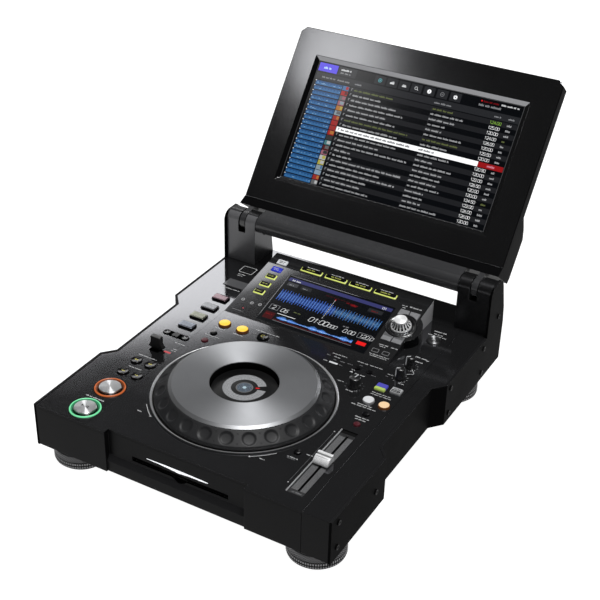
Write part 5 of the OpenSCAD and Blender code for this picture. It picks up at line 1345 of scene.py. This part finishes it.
def knobs():
    # selector: a bell with flutes that widen towards the skirt
    mb = MB()
    prof = [(4.2, -0.4), (12.6, -0.4), (12.8, -0.1), (12.8, 1.6), (12.65, 2.1), (12.2, 2.8), (11.5, 3.6), (10.8, 4.4), (10.1, 5.4), (9.6, 6.4), (9.1, 7.7), (8.7, 9.0), (8.42, 10.2), (8.22, 11.2)]
    nf, per = 16, 14
    n = nf * per
    v, f, kk = [], [], []
    for j, (r, z) in enumerate(prof):
        t = max(0.0, min(1.0, (11.0 - z) / 8.0))          # 0 at the top, 1 at the skirt
        on = 0.0 if z < 2.2 or z > 10.9 else min(1.0, (z - 1.9) / 1.2)
        for i in range(n):
            a = 2 * math.pi * i / n
            u = abs(((i % per) / per) - 0.5) * 2               # 0 in the middle of a flute
            half = 0.26 + 0.36 * t
            d = 0.0 if u > half else (0.35 + 0.75 * t) * on * math.cos(u / half * math.pi / 2) ** 0.6
            v.append((SEL[0] + (r - d) * math.cos(a), SEL[1] + (r - d) * math.sin(a), z))
    for j in range(len(prof) - 1):
        zc = (prof[j][1] + prof[j + 1][1]) / 2
        t = max(0.0, min(1.0, (11.0 - zc) / 8.0))
        for i in range(n):
            i2 = (i + 1) % n
            f.append((j * n + i, j * n + i2, (j + 1) * n + i2, (j + 1) * n + i))
            u = abs((((i % per) + 0.5) / per) - 0.5) * 2
            # faces in the flute channels take the near-black flute material: painted shade
            kk.append(2 if (2.6 < zc < 10.4 and u < 0.26 + 0.36 * t) else 1)
    base = len(mb.v)
    mb.v += v; mb.f += [tuple(q + base for q in t_) for t_ in f]; mb.k += kk
    mb.lathe([(8.22, 11.2), (8.16, 11.8), (8.0, 12.2), (7.75, 12.45)], n, SEL, 1)
    mb.lathe([(7.75, 12.45), (7.4, 12.62), (6.8, 12.7), (3.4, 12.76), (0, 12.8)], n, SEL, 0)
    put_mb("selector_knob_fluted", mb, MHS, "selector_knob_part", [MAT["sel"], MAT["chrome"], MAT["flute"]], replaces=("selector_knob",), slot="cap_metal", angle=42)
    # dark raised ring around it
    mb = MB()
    mb.lathe([(19.95, 0.0), (19.9, 0.5), (19.5, 0.95), (18.7, 1.25), (17.6, 1.3), (16.4, 1.0), (15.2, 0.45), (14.4, 0.12), (14.2, 0.0)], 128, SEL, 0)
    put_mb("selector_ring", mb, MHS, "player", MAT["ring_dark"], slot="housing_gloss", angle=50)
    # black pots
    for nm, p, r, h, ang in (("release", K_REL, 6.0, 14.6, 212), ("touch", K_TCH, 6.0, 14.6, 212), ("jog_adjust", K_ADJ, 7.6, 12.6, 80)):
        mb = MB()
        z = DZ
        fluted(mb, p, [(r, z + 0.5), (r, z + 1.6), (r - 0.35, z + 2.0), (r - 0.5, z + 3.0), (r - 0.75, z + 6), (r - 1.0, z + h - 2.2), (r - 1.05, z + h - 1.2)], 12, 0.55, z + 2.4, z + h - 1.6, 0, 144)
        mb.lathe([(r - 1.05, z + h - 1.2), (r - 1.25, z + h - 0.4), (r - 1.9, z + h), (0, z + h)], 72, p, 0)
        a = math.radians(ang)
        ca, sa = math.cos(a), math.sin(a)
        def q(u, w, zz): return (p[0] + ca * u - sa * w, p[1] + sa * u + ca * w, zz)
        # a raised white pointer line over the top and down the side, in the lit white key material, so it glows though
        # it holds no lamp: painted light
        hw = 0.5
        sec = [(0.0, z + h - 0.3), (0.0, z + h + 0.12), (r - 1.85, z + h + 0.12), (r - 1.05, z + h - 0.5), (r - 0.55, z + h - 3.2), (r - 0.1, z + 3.0), (r - 0.7, z + 3.0), (r - 1.6, z + h - 3.2), (r - 1.9, z + h - 0.3)]
        loft(mb, [[q(u, w, zz) for u, zz in sec] for w in (-hw, hw)], 1)
        node = {"release": "release_knob", "touch": "touch_knob", "jog_adjust": "jog_adjust_knob"}[nm]
        put_mb(node + "_turned", mb, M0, node + "_part", [MAT["knob"], MAT["k_white"]], replaces=(node,), slot="key_black", angle=40)
    # direction lever
    mb = MB()
    x, y = LEVER
    def blk(x0, x1, ya, yb, za, zb, g):
        rings = []
        for gg, z in ((0, za), (0, zb - g), (g * 0.35, zb - g * 0.35), (g, zb)):
            rings.append([(a, b, z) for a, b in rrect((x0 + x1) / 2, (ya + yb) / 2, x1 - x0 - 2 * gg, yb - ya - 2 * gg, 0.9, 4)])
        loft(mb, rings, 0)
    blk(x - 5.8, x + 5.8, y - 3.2, y + 3.2, 76, 84, 0.4)
    blk(x - 7.0, x + 7.0, y - 3.6, y + 3.6, 83, 98.4, 0.8)
    for s in (-1, 1):
        v = [(x + s * 6.6, y - 3.0, 82.2), (x + s * 10.4, y - 3.0, 83.6), (x + s * 6.6, y - 2.4, 90.4), (x + s * 6.6, y + 3.0, 82.2), (x + s * 10.4, y + 3.0, 83.6), (x + s * 6.6, y + 2.4, 90.4)]
        f = [(0, 1, 2), (3, 5, 4), (0, 3, 4, 1), (1, 4, 5, 2), (0, 2, 5, 3)]
        mb.add(v, f if s > 0 else [t[::-1] for t in f], 0)
    put_mb("direction_lever_paddle", mb, M0, "direction_lever_part", MAT["knob"], replaces=("direction_lever",), slot="key_black", angle=40, bevel=0.2, segs=2)
    # tempo fader knob: a lip at the back, a groove, and a low hump in front
    mb = MB()
    x, y = FADER
    prof = [(-9.6, 82.6), (4.8, 82.6), (4.8, 88.6), (4.72, 89.6), (4.5, 90.4), (4.2, 90.9), (3.8, 91.1), (2.6, 91.05), (1.4, 90.9), (0.95, 90.6), (0.7, 90.0), (0.5, 89.0), (0.3, 88.5), (-0.2, 88.32), (-0.8, 88.3), (-1.15, 88.5), (-1.4, 89.1), (-1.65, 89.85), (-1.95, 90.25), (-2.6, 90.4), (-3.6, 90.1), (-5.4, 89.2), (-7.0, 88.1), (-8.2, 87.0), (-8.8, 86.2), (-9.2, 85.2), (-9.5, 84.2), (-9.6, 83.4)]
    rings = []
    for xx, g in ((-9.0, 0.5), (-8.8, 0.16), (-8.4, 0.0), (8.4, 0.0), (8.8, 0.16), (9.0, 0.5)):
        rings.append([(x + xx, y + p[0] * (1 - g / 10), 82.6 + (p[1] - 82.6) * (1 - g / 14)) for p in prof])
    n = len(prof)
    v = [q for r_ in rings for q in r_]
    f, kk = [], []
    for j in range(len(rings) - 1):
        for i in range(n):
            i2 = (i + 1) % n
            f.append((j * n + i, j * n + i2, (j + 1) * n + i2, (j + 1) * n + i))
            ym = (prof[i][0] + prof[i2][0]) / 2
            # faces in the groove take the darker copy: painted shade
            kk.append(2 if -1.5 < ym < 0.75 else 0)
    f.append(tuple(range(n))[::-1]); kk.append(0)
    f.append(tuple((len(rings) - 1) * n + i for i in range(n))); kk.append(0)
    base = len(mb.v)
    mb.v += v; mb.f += [tuple(q + base for q in t_) for t_ in f]; mb.k += kk
    mb.box(x - 0.8, y - 3, 70, x + 0.8, y + 3, 82.6, 1)
    sl = math.atan2(90.1 - 89.2, 1.8)
    # a thin darker stripe across the front hump: painted shade
    mb.add([(x - 8.2, y - 4.7, 89.58), (x + 8.2, y - 4.7, 89.58), (x + 8.2, y - 4.2, 89.83), (x - 8.2, y - 4.2, 89.83)], [(0, 1, 2, 3)], 2)
    put_mb("tempo_knob_shaped", mb, M0, "tempo_knob_part", [MAT["fader_silver"], MAT["knob"], MAT["fader_side"]], replaces=("tempo_knob",), slot="trim_silver", angle=35)
    # ribbed strips either side of the fader slot, each rib cut into short pads
    mb = MB()
    z = 79.42
    for xa, xb, cuts in ((FADER[0] - 9.0, FADER[0] - 1.5, 6), (FADER[0] + 1.3, FADER[0] + 7.9, 5)):
        yy = FADER[1] - 53.5
        while yy < FADER[1] + 49.5:
            for c in range(cuts):
                u0 = xa + (xb - xa) * (c + 0.08) / cuts
                u1 = xa + (xb - xa) * (c + 0.92) / cuts
                mb.add([(u0, yy, z), (u1, yy, z), (u1, yy + 0.45, z + 0.42), (u0, yy + 0.45, z + 0.42), (u1, yy + 0.9, z), (u0, yy + 0.9, z)], [(0, 1, 2, 3), (3, 2, 4, 5), (0, 3, 5), (1, 4, 2)], 0)
            yy += 1.45
    put_mb("fader_ribs", mb, M0, "player", MAT["strip_rib"], slot="fader_strip", angle=20)
    # painted shade: a black strip on the floor at the back of the recess, and a dark lining along the slot's walls
    mb = MB()
    mb.box(FADER[0] - 11.3, FADER[1] + 56.4, 79.42, FADER[0] + 8.1, FADER[1] + 61.2, 79.62, 0)
    mb.box(FADER[0] - 1.05, FADER[1] - 53.9, 78.6, FADER[0] - 0.85, FADER[1] + 53.9, 79.5, 0)
    mb.box(FADER[0] + 0.85, FADER[1] - 53.9, 78.6, FADER[0] + 1.05, FADER[1] + 53.9, 79.5, 0)
    put_mb("fader_recess_painted_shade", mb, M0, "player", MAT["dark"], slot="fader_strip", angle=20)
    # painted highlight: a bright silver strip along the recess's left edge
    mb = MB()
    mb.box(FADER[0] - 11.35, FADER[1] - 61.2, 79.42, FADER[0] - 10.75, FADER[1] + 61.2, 80.3, 0)
    put_mb("fader_edge_painted_highlight", mb, M0, "player", MAT["k_silver"], slot="trim_silver", angle=20)


# ================================================================ small print, ports, doors
def print_marks():
    mb = MB()
    z = DZ + 0.03
    INK, DIM, YEL, RED, LED, WHT = 0, 1, 2, 3, 4, 5
    def g(x, y, w, h=1.7, k=INK, seed=0): greek(mb, x, y, w, h, z, k, seed)
    g(-152, 44.6, 26, 1.9, INK, 1)                         # above play
    g(-150.5, 143.5, 26, 1.5, INK, 2); g(-146, 117.2, 18, 1.5, INK, 3)
    g(-128, 187, 14, 1.5, INK, 4); g(-137, 191.0, 16, 1.3, DIM, 5)
    g(-121.8, 174, 5.5, 1.4, INK, 6); g(-122.6, 170.6, 6.5, 1.4, INK, 7)
    mb.poly(rrect(-124.0, 165.0, 9.5, 3.4, 1.2, 4), z, RED)
    g(-106, 241.5, 14, 1.6, INK, 8); g(-80, 241.5, 14, 1.6, INK, 9)
    g(-60, 263.5, 34, 1.7, INK, 10); g(-62, 255, 8, 1.4, DIM, 11)
    g(-108, 236.6, 16, 1.3, DIM, 12); g(-108, 222.5, 20, 1.3, INK, 13); g(-106, 218.8, 17, 1.3, DIM, 14)
    # arcs and arrows by the wheel
    for a0, a1 in ((math.radians(220.5), math.radians(232)), (math.radians(305.5), math.radians(320))):
        mb.ringflat(JOG[0], JOG[1], 111.2, 111.9, z, INK, 24, a0=a0, a1=a1)
    for a, s in ((math.radians(232.5), 1), (math.radians(305.0), -1)):
        c = (JOG[0] + 111.5 * math.cos(a), JOG[1] + 111.5 * math.sin(a))
        mb.poly([(c[0] - 1.4, c[1] + 1.2), (c[0] + 1.6, c[1] - 0.2), (c[0] - 1.0, c[1] - 1.6)], z, INK)
    g(-85.5, 51.4, 6, 1.6, INK, 15); g(75.6, 50.2, 6.4, 1.6, INK, 16)
    # near the display housing
    for i, (x, y, w, k_) in enumerate(((45.4, 268.2, 19.5, INK), (50.7, 262.4, 8.7, INK), (40.5, 262.2, 5, DIM), (61.5, 257.2, 6, DIM), (52.5, 256.6, 4, DIM))):
        g(x, y, w, 1.6, k_, 20 + i)
    mb.poly(rrect(56.1, 250.6, 11.3, 3.0, 0.7, 3), z, WHT); g(42.6, 250.0, 5.6, 1.6, INK, 30); g(63.6, 249.8, 4.6, 1.5, DIM, 31)
    g(78.8, 268.2, 14.4, 1.6, INK, 32); g(95.6, 268.2, 16.4, 1.6, INK, 33)
    g(71, 257.8, 7, 1.4, DIM, 34); g(84.8, 262.0, 5, 1.3, DIM, 35); g(106, 250.6, 6, 1.3, DIM, 36)
    g(87.8, 243.8, 13.4, 1.7, INK, 37); mb.poly([(80.2, 245.0), (85.2, 243.9), (83.3, 247.4)], z, INK); g(80.6, 249.6, 4.4, 1.4, INK, 137)
    g(77.1, 221.7, 8.4, 1.4, INK, 38); g(94.2, 209.6, 9.6, 1.6, INK, 39)
    # knob scales
    for c, rr in ((K_REL, 8.9), (K_TCH, 8.9), (K_ADJ, 10.6)):
        for i in range(11):
            a = math.radians(240 - 30 * i)
            ca, sa = math.cos(a), math.sin(a)
            mb.add([(c[0] + (rr - 0.7) * ca - 0.22 * sa, c[1] + (rr - 0.7) * sa + 0.22 * ca, z), (c[0] + (rr + 0.7) * ca - 0.22 * sa, c[1] + (rr + 0.7) * sa + 0.22 * ca, z), (c[0] + (rr + 0.7) * ca + 0.22 * sa, c[1] + (rr + 0.7) * sa - 0.22 * ca, z), (c[0] + (rr - 0.7) * ca + 0.22 * sa, c[1] + (rr - 0.7) * sa - 0.22 * ca, z)], [(0, 1, 2, 3)], INK if c != K_ADJ else DIM)
    g(133.6, 313.4, 14.8, 2.2, INK, 40); g(148.0, 312.0, 3.5, 2.0, INK, 140); g(137.4, 304.2, 9.8, 2.0, INK, 41)
    def seg(p0, p1, w_=0.5, k_=INK):
        dx, dy = p1[0] - p0[0], p1[1] - p0[1]
        L_ = math.hypot(dx, dy); nx_, ny_ = -dy / L_ * w_ / 2, dx / L_ * w_ / 2
        mb.add([(p0[0] - nx_, p0[1] - ny_, z), (p1[0] - nx_, p1[1] - ny_, z), (p1[0] + nx_, p1[1] + ny_, z), (p0[0] + nx_, p0[1] + ny_, z)], [(0, 1, 2, 3)], k_)
    seg((141.6, 287.2), (147.6, 280.0), 0.7); seg((147.6, 279.4), (140.6, 274.6), 0.7)
    g(140.2, 253.0, 7.4, 1.5, INK, 43); g(121.5, 263.4, 6.0, 1.4, INK, 44); g(121.0, 258.6, 4.0, 1.3, DIM, 45)
    g(129, 377.5, 16, 2.4, INK, 46); g(131, 371.5, 12, 1.6, INK, 47); g(125, 367.5, 24, 1.8, INK, 48)
    # tempo section
    g(122, 222.0, 24, 1.5, INK, 50); g(122, 218.4, 26, 1.5, INK, 51)
    g(118, 193.5, 18, 1.7, INK, 52); g(112, 190.0, 31, 1.7, INK, 53)
    g(127, 170.6, 17, 1.8, INK, 54); g(129, 166.6, 13, 1.8, INK, 55)
    # painted highlight: a pale line along the fader recess's left edge
    mb.quad(125.9 - 0.45, 20.6, 125.9 - 0.05, 143.2, z, INK)
    mb.quad(121.0, 36.0, 121.25, 131.5, z, DIM)
    for y in (133.8, 33.1):
        mb.disc(121.2, y, 0.75, z, INK, 14)
    g(114.8, 82.4, 4.6, 1.6, INK, 156); mb.quad(120.2, 82.8, 122.6, 83.6, z, INK)
    g(98.5, 69.5, 13, 1.5, INK, 57); g(99.5, 67.2, 11, 1.2, DIM, 58)
    # USB outline and labels at the back left
    x, y = USB
    for w, h, t in ((20.5, 17.0, 0.9),):
        o = rrect(x, y, w, h, 2.4, 5); i_ = rrect(x, y, w - 2 * t, h - 2 * t, 1.6, 5)
        n = len(o)
        mb.add([(p[0], p[1], z) for p in o] + [(p[0], p[1], z) for p in i_], [(k, (k + 1) % n, n + (k + 1) % n, n + k) for k in range(n)], INK)
    g(-152, 367.6, 12, 1.7, INK, 60); g(-151, 363.8, 8, 1.7, INK, 61)
    g(-152.5, 328.9, 27, 1.7, INK, 62)
    # hot cue letters stand as plain dots
    for i, yy in enumerate(HOT_Y):
        for d in range(i + 1):
            mb.disc(-121.6 + 0.0, yy - 2.4 + d * 1.6, 0.5, z, DIM, 8)
    put_mb("deck_print", mb, M0, "player", [MAT["ink"], MAT["ink_dim"], MAT["ink_yel"], MAT["ink_red"], MAT["led_red"], MAT["k_white"]], slot="trim_silver", angle=20)
    # label on the floor of the fader recess
    mb = MB()
    greek(mb, FADER[0] - 6.0, FADER[1] - 58.6, 11.5, 1.9, 79.45, 0, 57)
    put_mb("fader_label", mb, M0, "player", [MAT["ink_dim"]], slot="trim_silver", angle=20)
    # housing print
    mb = MB()
    z = 0.235
    def h_(x, s, w, hh=1.7, k=0, seed=0): greek(mb, x, s, w, hh, z, k, seed)
    for i, x in enumerate(MENU_X):
        h_(x - 9, 112.6, 18, 1.5, 0, 80 + i)
    h_(84, 98.0, 7, 1.5, 0, 90); h_(94, 98.6, 16, 1.8, 0, 91); h_(86, 94.6, 5, 1.4, 0, 92)
    h_(88, 26.5, 12, 1.5, 0, 93); h_(104, 26.5, 9, 1.5, 0, 94); h_(90, 23.6, 8, 1.3, 0, 95)
    for x in (88.5, 102.5):
        mb.poly(rrect(x, 15.6, 9.0, 6.0, 1.2, 4), z, 1)
        mb.poly(rrect(x, 15.6, 7.6, 4.6, 0.8, 4), z + 0.01, 2)
        h_(x - 3.2, 14.8, 6.4, 1.8, 0, int(x))
    h_(84, 8.4, 26, 1.3, 0, 96); h_(86, 5.8, 22, 1.3, 0, 97)
    for x, s in ((-106, 27.5), (-92, 26), (-81, 27.5)):
        mb.ringflat(x, s, 1.7, 2.3, z, 0, 24); mb.quad(x - 1.0, s - 0.3, x + 1.0, s + 0.3, z, 0)
    mb.disc(-97.5, 13.6, 0.9, z, 3, 12); h_(-110, 7.2, 15, 1.4, 1, 98)
    put_mb("housing_print", mb, MHS, "player", [MAT["ink"], MAT["ink_dim"], MAT["housing"], MAT["led_red"]], slot="trim_silver", angle=20)


def card_and_ports():
    mb = MB()
    x, y = CARD
    rings = [[(a, b, z) for a, b in rrect(x, y, 30 - 2 * g, 17 - 2 * g, 1.0, 4)] for g, z in ((0, DZ - 0.35), (0, DZ + 0.45), (0.25, DZ + 0.78), (0.9, DZ + 0.8))]
    loft(mb, rings, 0)
    first = len(mb.v)
    mb.lathe([(0, -14.4), (0.85, -14.4), (0.85, 14.4), (0, 14.4)], 16, (0, 0), 0)
    # turned to lie along X, the hinge rod of the flap
    for i in range(first, len(mb.v)):
        a, b, c = mb.v[i]
        mb.v[i] = (x + c, y + 7.3 + a, DZ - 0.2 + b)
    put_mb("card_door_flap", mb, M0, "card_door_part", MAT["smoke"], replaces=("card_door",), slot="door_smoke", angle=35)
    # USB port lining and tongue
    mb = MB()
    x, y = USB
    o = rrect(x, y, 13.2, 5.8, 0.5, 2); i_ = rrect(x, y, 12.2, 4.9, 0.3, 2)
    nn = len(o)
    v = [(p[0], p[1], DZ + 0.02) for p in o] + [(p[0], p[1], DZ + 0.02) for p in i_] + [(p[0], p[1], 70.0) for p in i_]
    f = []
    for k in range(nn):
        k2 = (k + 1) % nn
        f.append((k, k2, nn + k2, nn + k)); f.append((nn + k, nn + k2, 2 * nn + k2, 2 * nn + k))
    mb.add(v, f, 0)
    mb.add([v[2 * nn + k] for k in range(nn)], [tuple(range(nn))], 1)
    mb.box(x - 5.4, y + 0.5, 70.0, x + 5.4, y + 2.0, 79.2, 1)
    put_mb("usb_port_shell", mb, M0, "player", [MAT["pin"], MAT["socket"]], slot="pin_steel", angle=30)


# ================================================================ pillars' details
def pillar_details():
    for s in (-1, 1):
        pass
    mb = MB()
    # small round boss on each inner cheek
    for s in (-1, 1):
        prof = [(0, 1.6), (3.2, 1.6), (3.9, 1.1), (4.2, 0.0)]
        n = 32
        v, f, rows = [], [], []
        for r, h in prof:
            if r < 1e-6:
                rows.append([len(v)] * n); v.append((s * (145.5 - h), 424.5, 119.5)); continue
            row = []
            for i in range(n):
                a = 2 * math.pi * i / n
                row.append(len(v)); v.append((s * (145.5 - h), 424.5 + r * math.cos(a), 119.5 + r * math.sin(a)))
            rows.append(row)
        for j in range(len(prof) - 1):
            for i in range(n):
                q = []
                for t in (rows[j][i], rows[j][(i + 1) % n], rows[j + 1][(i + 1) % n], rows[j + 1][i]):
                    if t not in q:
                        q.append(t)
                if len(q) > 2:
                    f.append(tuple(q if s > 0 else q[::-1]))
        mb.add(v, f, 0)
    put_mb("pillar_bosses", mb, M0, "player", MAT["knob"], slot="plate_metal", angle=40)


# ================================================================ stage
def stage():
    me = bpy.data.meshes.new("floor")
    e = 9.0
    me.from_pydata([(-e, -e, 0), (e, -e, 0), (e, e, 0), (-e, e, 0)], [], [(0, 1, 2, 3)])
    o = bpy.data.objects.new("floor", me)
    bpy.context.scene.collection.objects.link(o)
    m, nt, b = new_mat("floor_pale")
    n = noise(nt, 1.2, 3)
    nt.links.new(mixc(nt, n.outputs["Fac"], (0.24, 0.24, 0.241), (0.26, 0.26, 0.261)), b.inputs["Base Color"])
    b.inputs["Roughness"].default_value = 0.75
    b.inputs["Specular IOR Level"].default_value = 0.15
    b.inputs["Emission Color"].default_value = (1, 1, 1, 1)
    b.inputs["Emission Strength"].default_value = 1.0
    me.materials.append(m)


def area(name, loc, target, size, power, col=(1, 1, 1), spread=math.pi, shape="RECTANGLE", size_y=None):
    li = bpy.data.lights.new(name, "AREA")
    li.energy = power; li.color = col; li.shape = shape
    li.size = size; li.size_y = size_y or size
    li.spread = spread
    o = bpy.data.objects.new(name, li)
    bpy.context.scene.collection.objects.link(o)
    o.location = loc
    d = Vector(target) - Vector(loc)
    o.rotation_euler = d.to_track_quat('-Z', 'Y').to_euler()
    return o


def lights():
    w = bpy.data.worlds.new("studio")
    bpy.context.scene.world = w
    w.use_nodes = True
    nt = w.node_tree
    bg = nt.nodes["Background"]
    bg.inputs["Color"].default_value = (1.0, 1.0, 1.0, 1)
    bg.inputs["Strength"].default_value = 0.018
    # broad overhead light
    li = bpy.data.lights.new("overhead", "SUN")
    li.energy = 3.3; li.angle = math.radians(20)
    o = bpy.data.objects.new("overhead", li)
    bpy.context.scene.collection.objects.link(o)
    o.rotation_euler = Vector((-0.12, 0.0, -0.9925)).to_track_quat('-Z', 'Y').to_euler()
    def far(name, az, el, d, w_, h_, power, shape="RECTANGLE"):
        a, e = math.radians(az), math.radians(el)
        loc = (d * math.sin(a) * math.cos(e), -d * math.cos(a) * math.cos(e), d * math.sin(e))
        return area(name, loc, (0, 0, 0.1), w_, power, size_y=h_, shape=shape)
    far("box_back_left", -134.5, 26.6, 12.0, 6.2, 2.85, 160)
    far("disc_front_left", -39.9, 46.8, 12.0, 1.0, 1.0, 7.2, "DISK")
    far("box_high_left", -130.2, 48.8, 12.0, 4.3, 1.5, 23.9)
    far("strip_back_right", 144.0, 25.0, 12.0, 1.6, 1.0, 9)


def camera():
    az, el, roll = math.radians(30.1), math.radians(31.92), math.radians(1.01)
    tgt = Vector((-3.99, 230.0, 144.87)); D = 1473.32
    CAL = (30.1, 31.92)
    back = Vector((math.sin(az) * math.cos(el), -math.cos(az) * math.cos(el), math.sin(el)))
    pos = tgt + back * D
    zc = back
    xr = Vector((0, 0, 1)).cross(zc).normalized()
    yu = zc.cross(xr)
    c, s = math.cos(roll), math.sin(roll)
    xr, yu = c * xr + s * yu, -s * xr + c * yu
    cam = bpy.data.cameras.new("cam")
    o = bpy.data.objects.new("cam", cam)
    bpy.context.scene.collection.objects.link(o)
    m = Matrix((xr, yu, zc)).transposed().to_4x4()
    m.translation = M0 @ pos
    o.matrix_world = m
    cam.sensor_width = 36.0
    cam.lens = 1261.08 * 36.0 / 600.0
    cam.shift_x = 18.1 / 600.0
    cam.shift_y = 10.43 / 600.0
    cam.clip_start = 0.05; cam.clip_end = 30
    bpy.context.scene.camera = o


camera()
lights()
stage()
bpy.context.scene.view_settings.view_transform = "Standard"
casing()
front()
feet()
gx, g0, g1 = lid()
lid_ui(gx, g0, g1)
deck_ui()
housing_trim()
jog()
big_buttons()
keys()
knobs()
print_marks()
card_and_ports()
pillar_details()
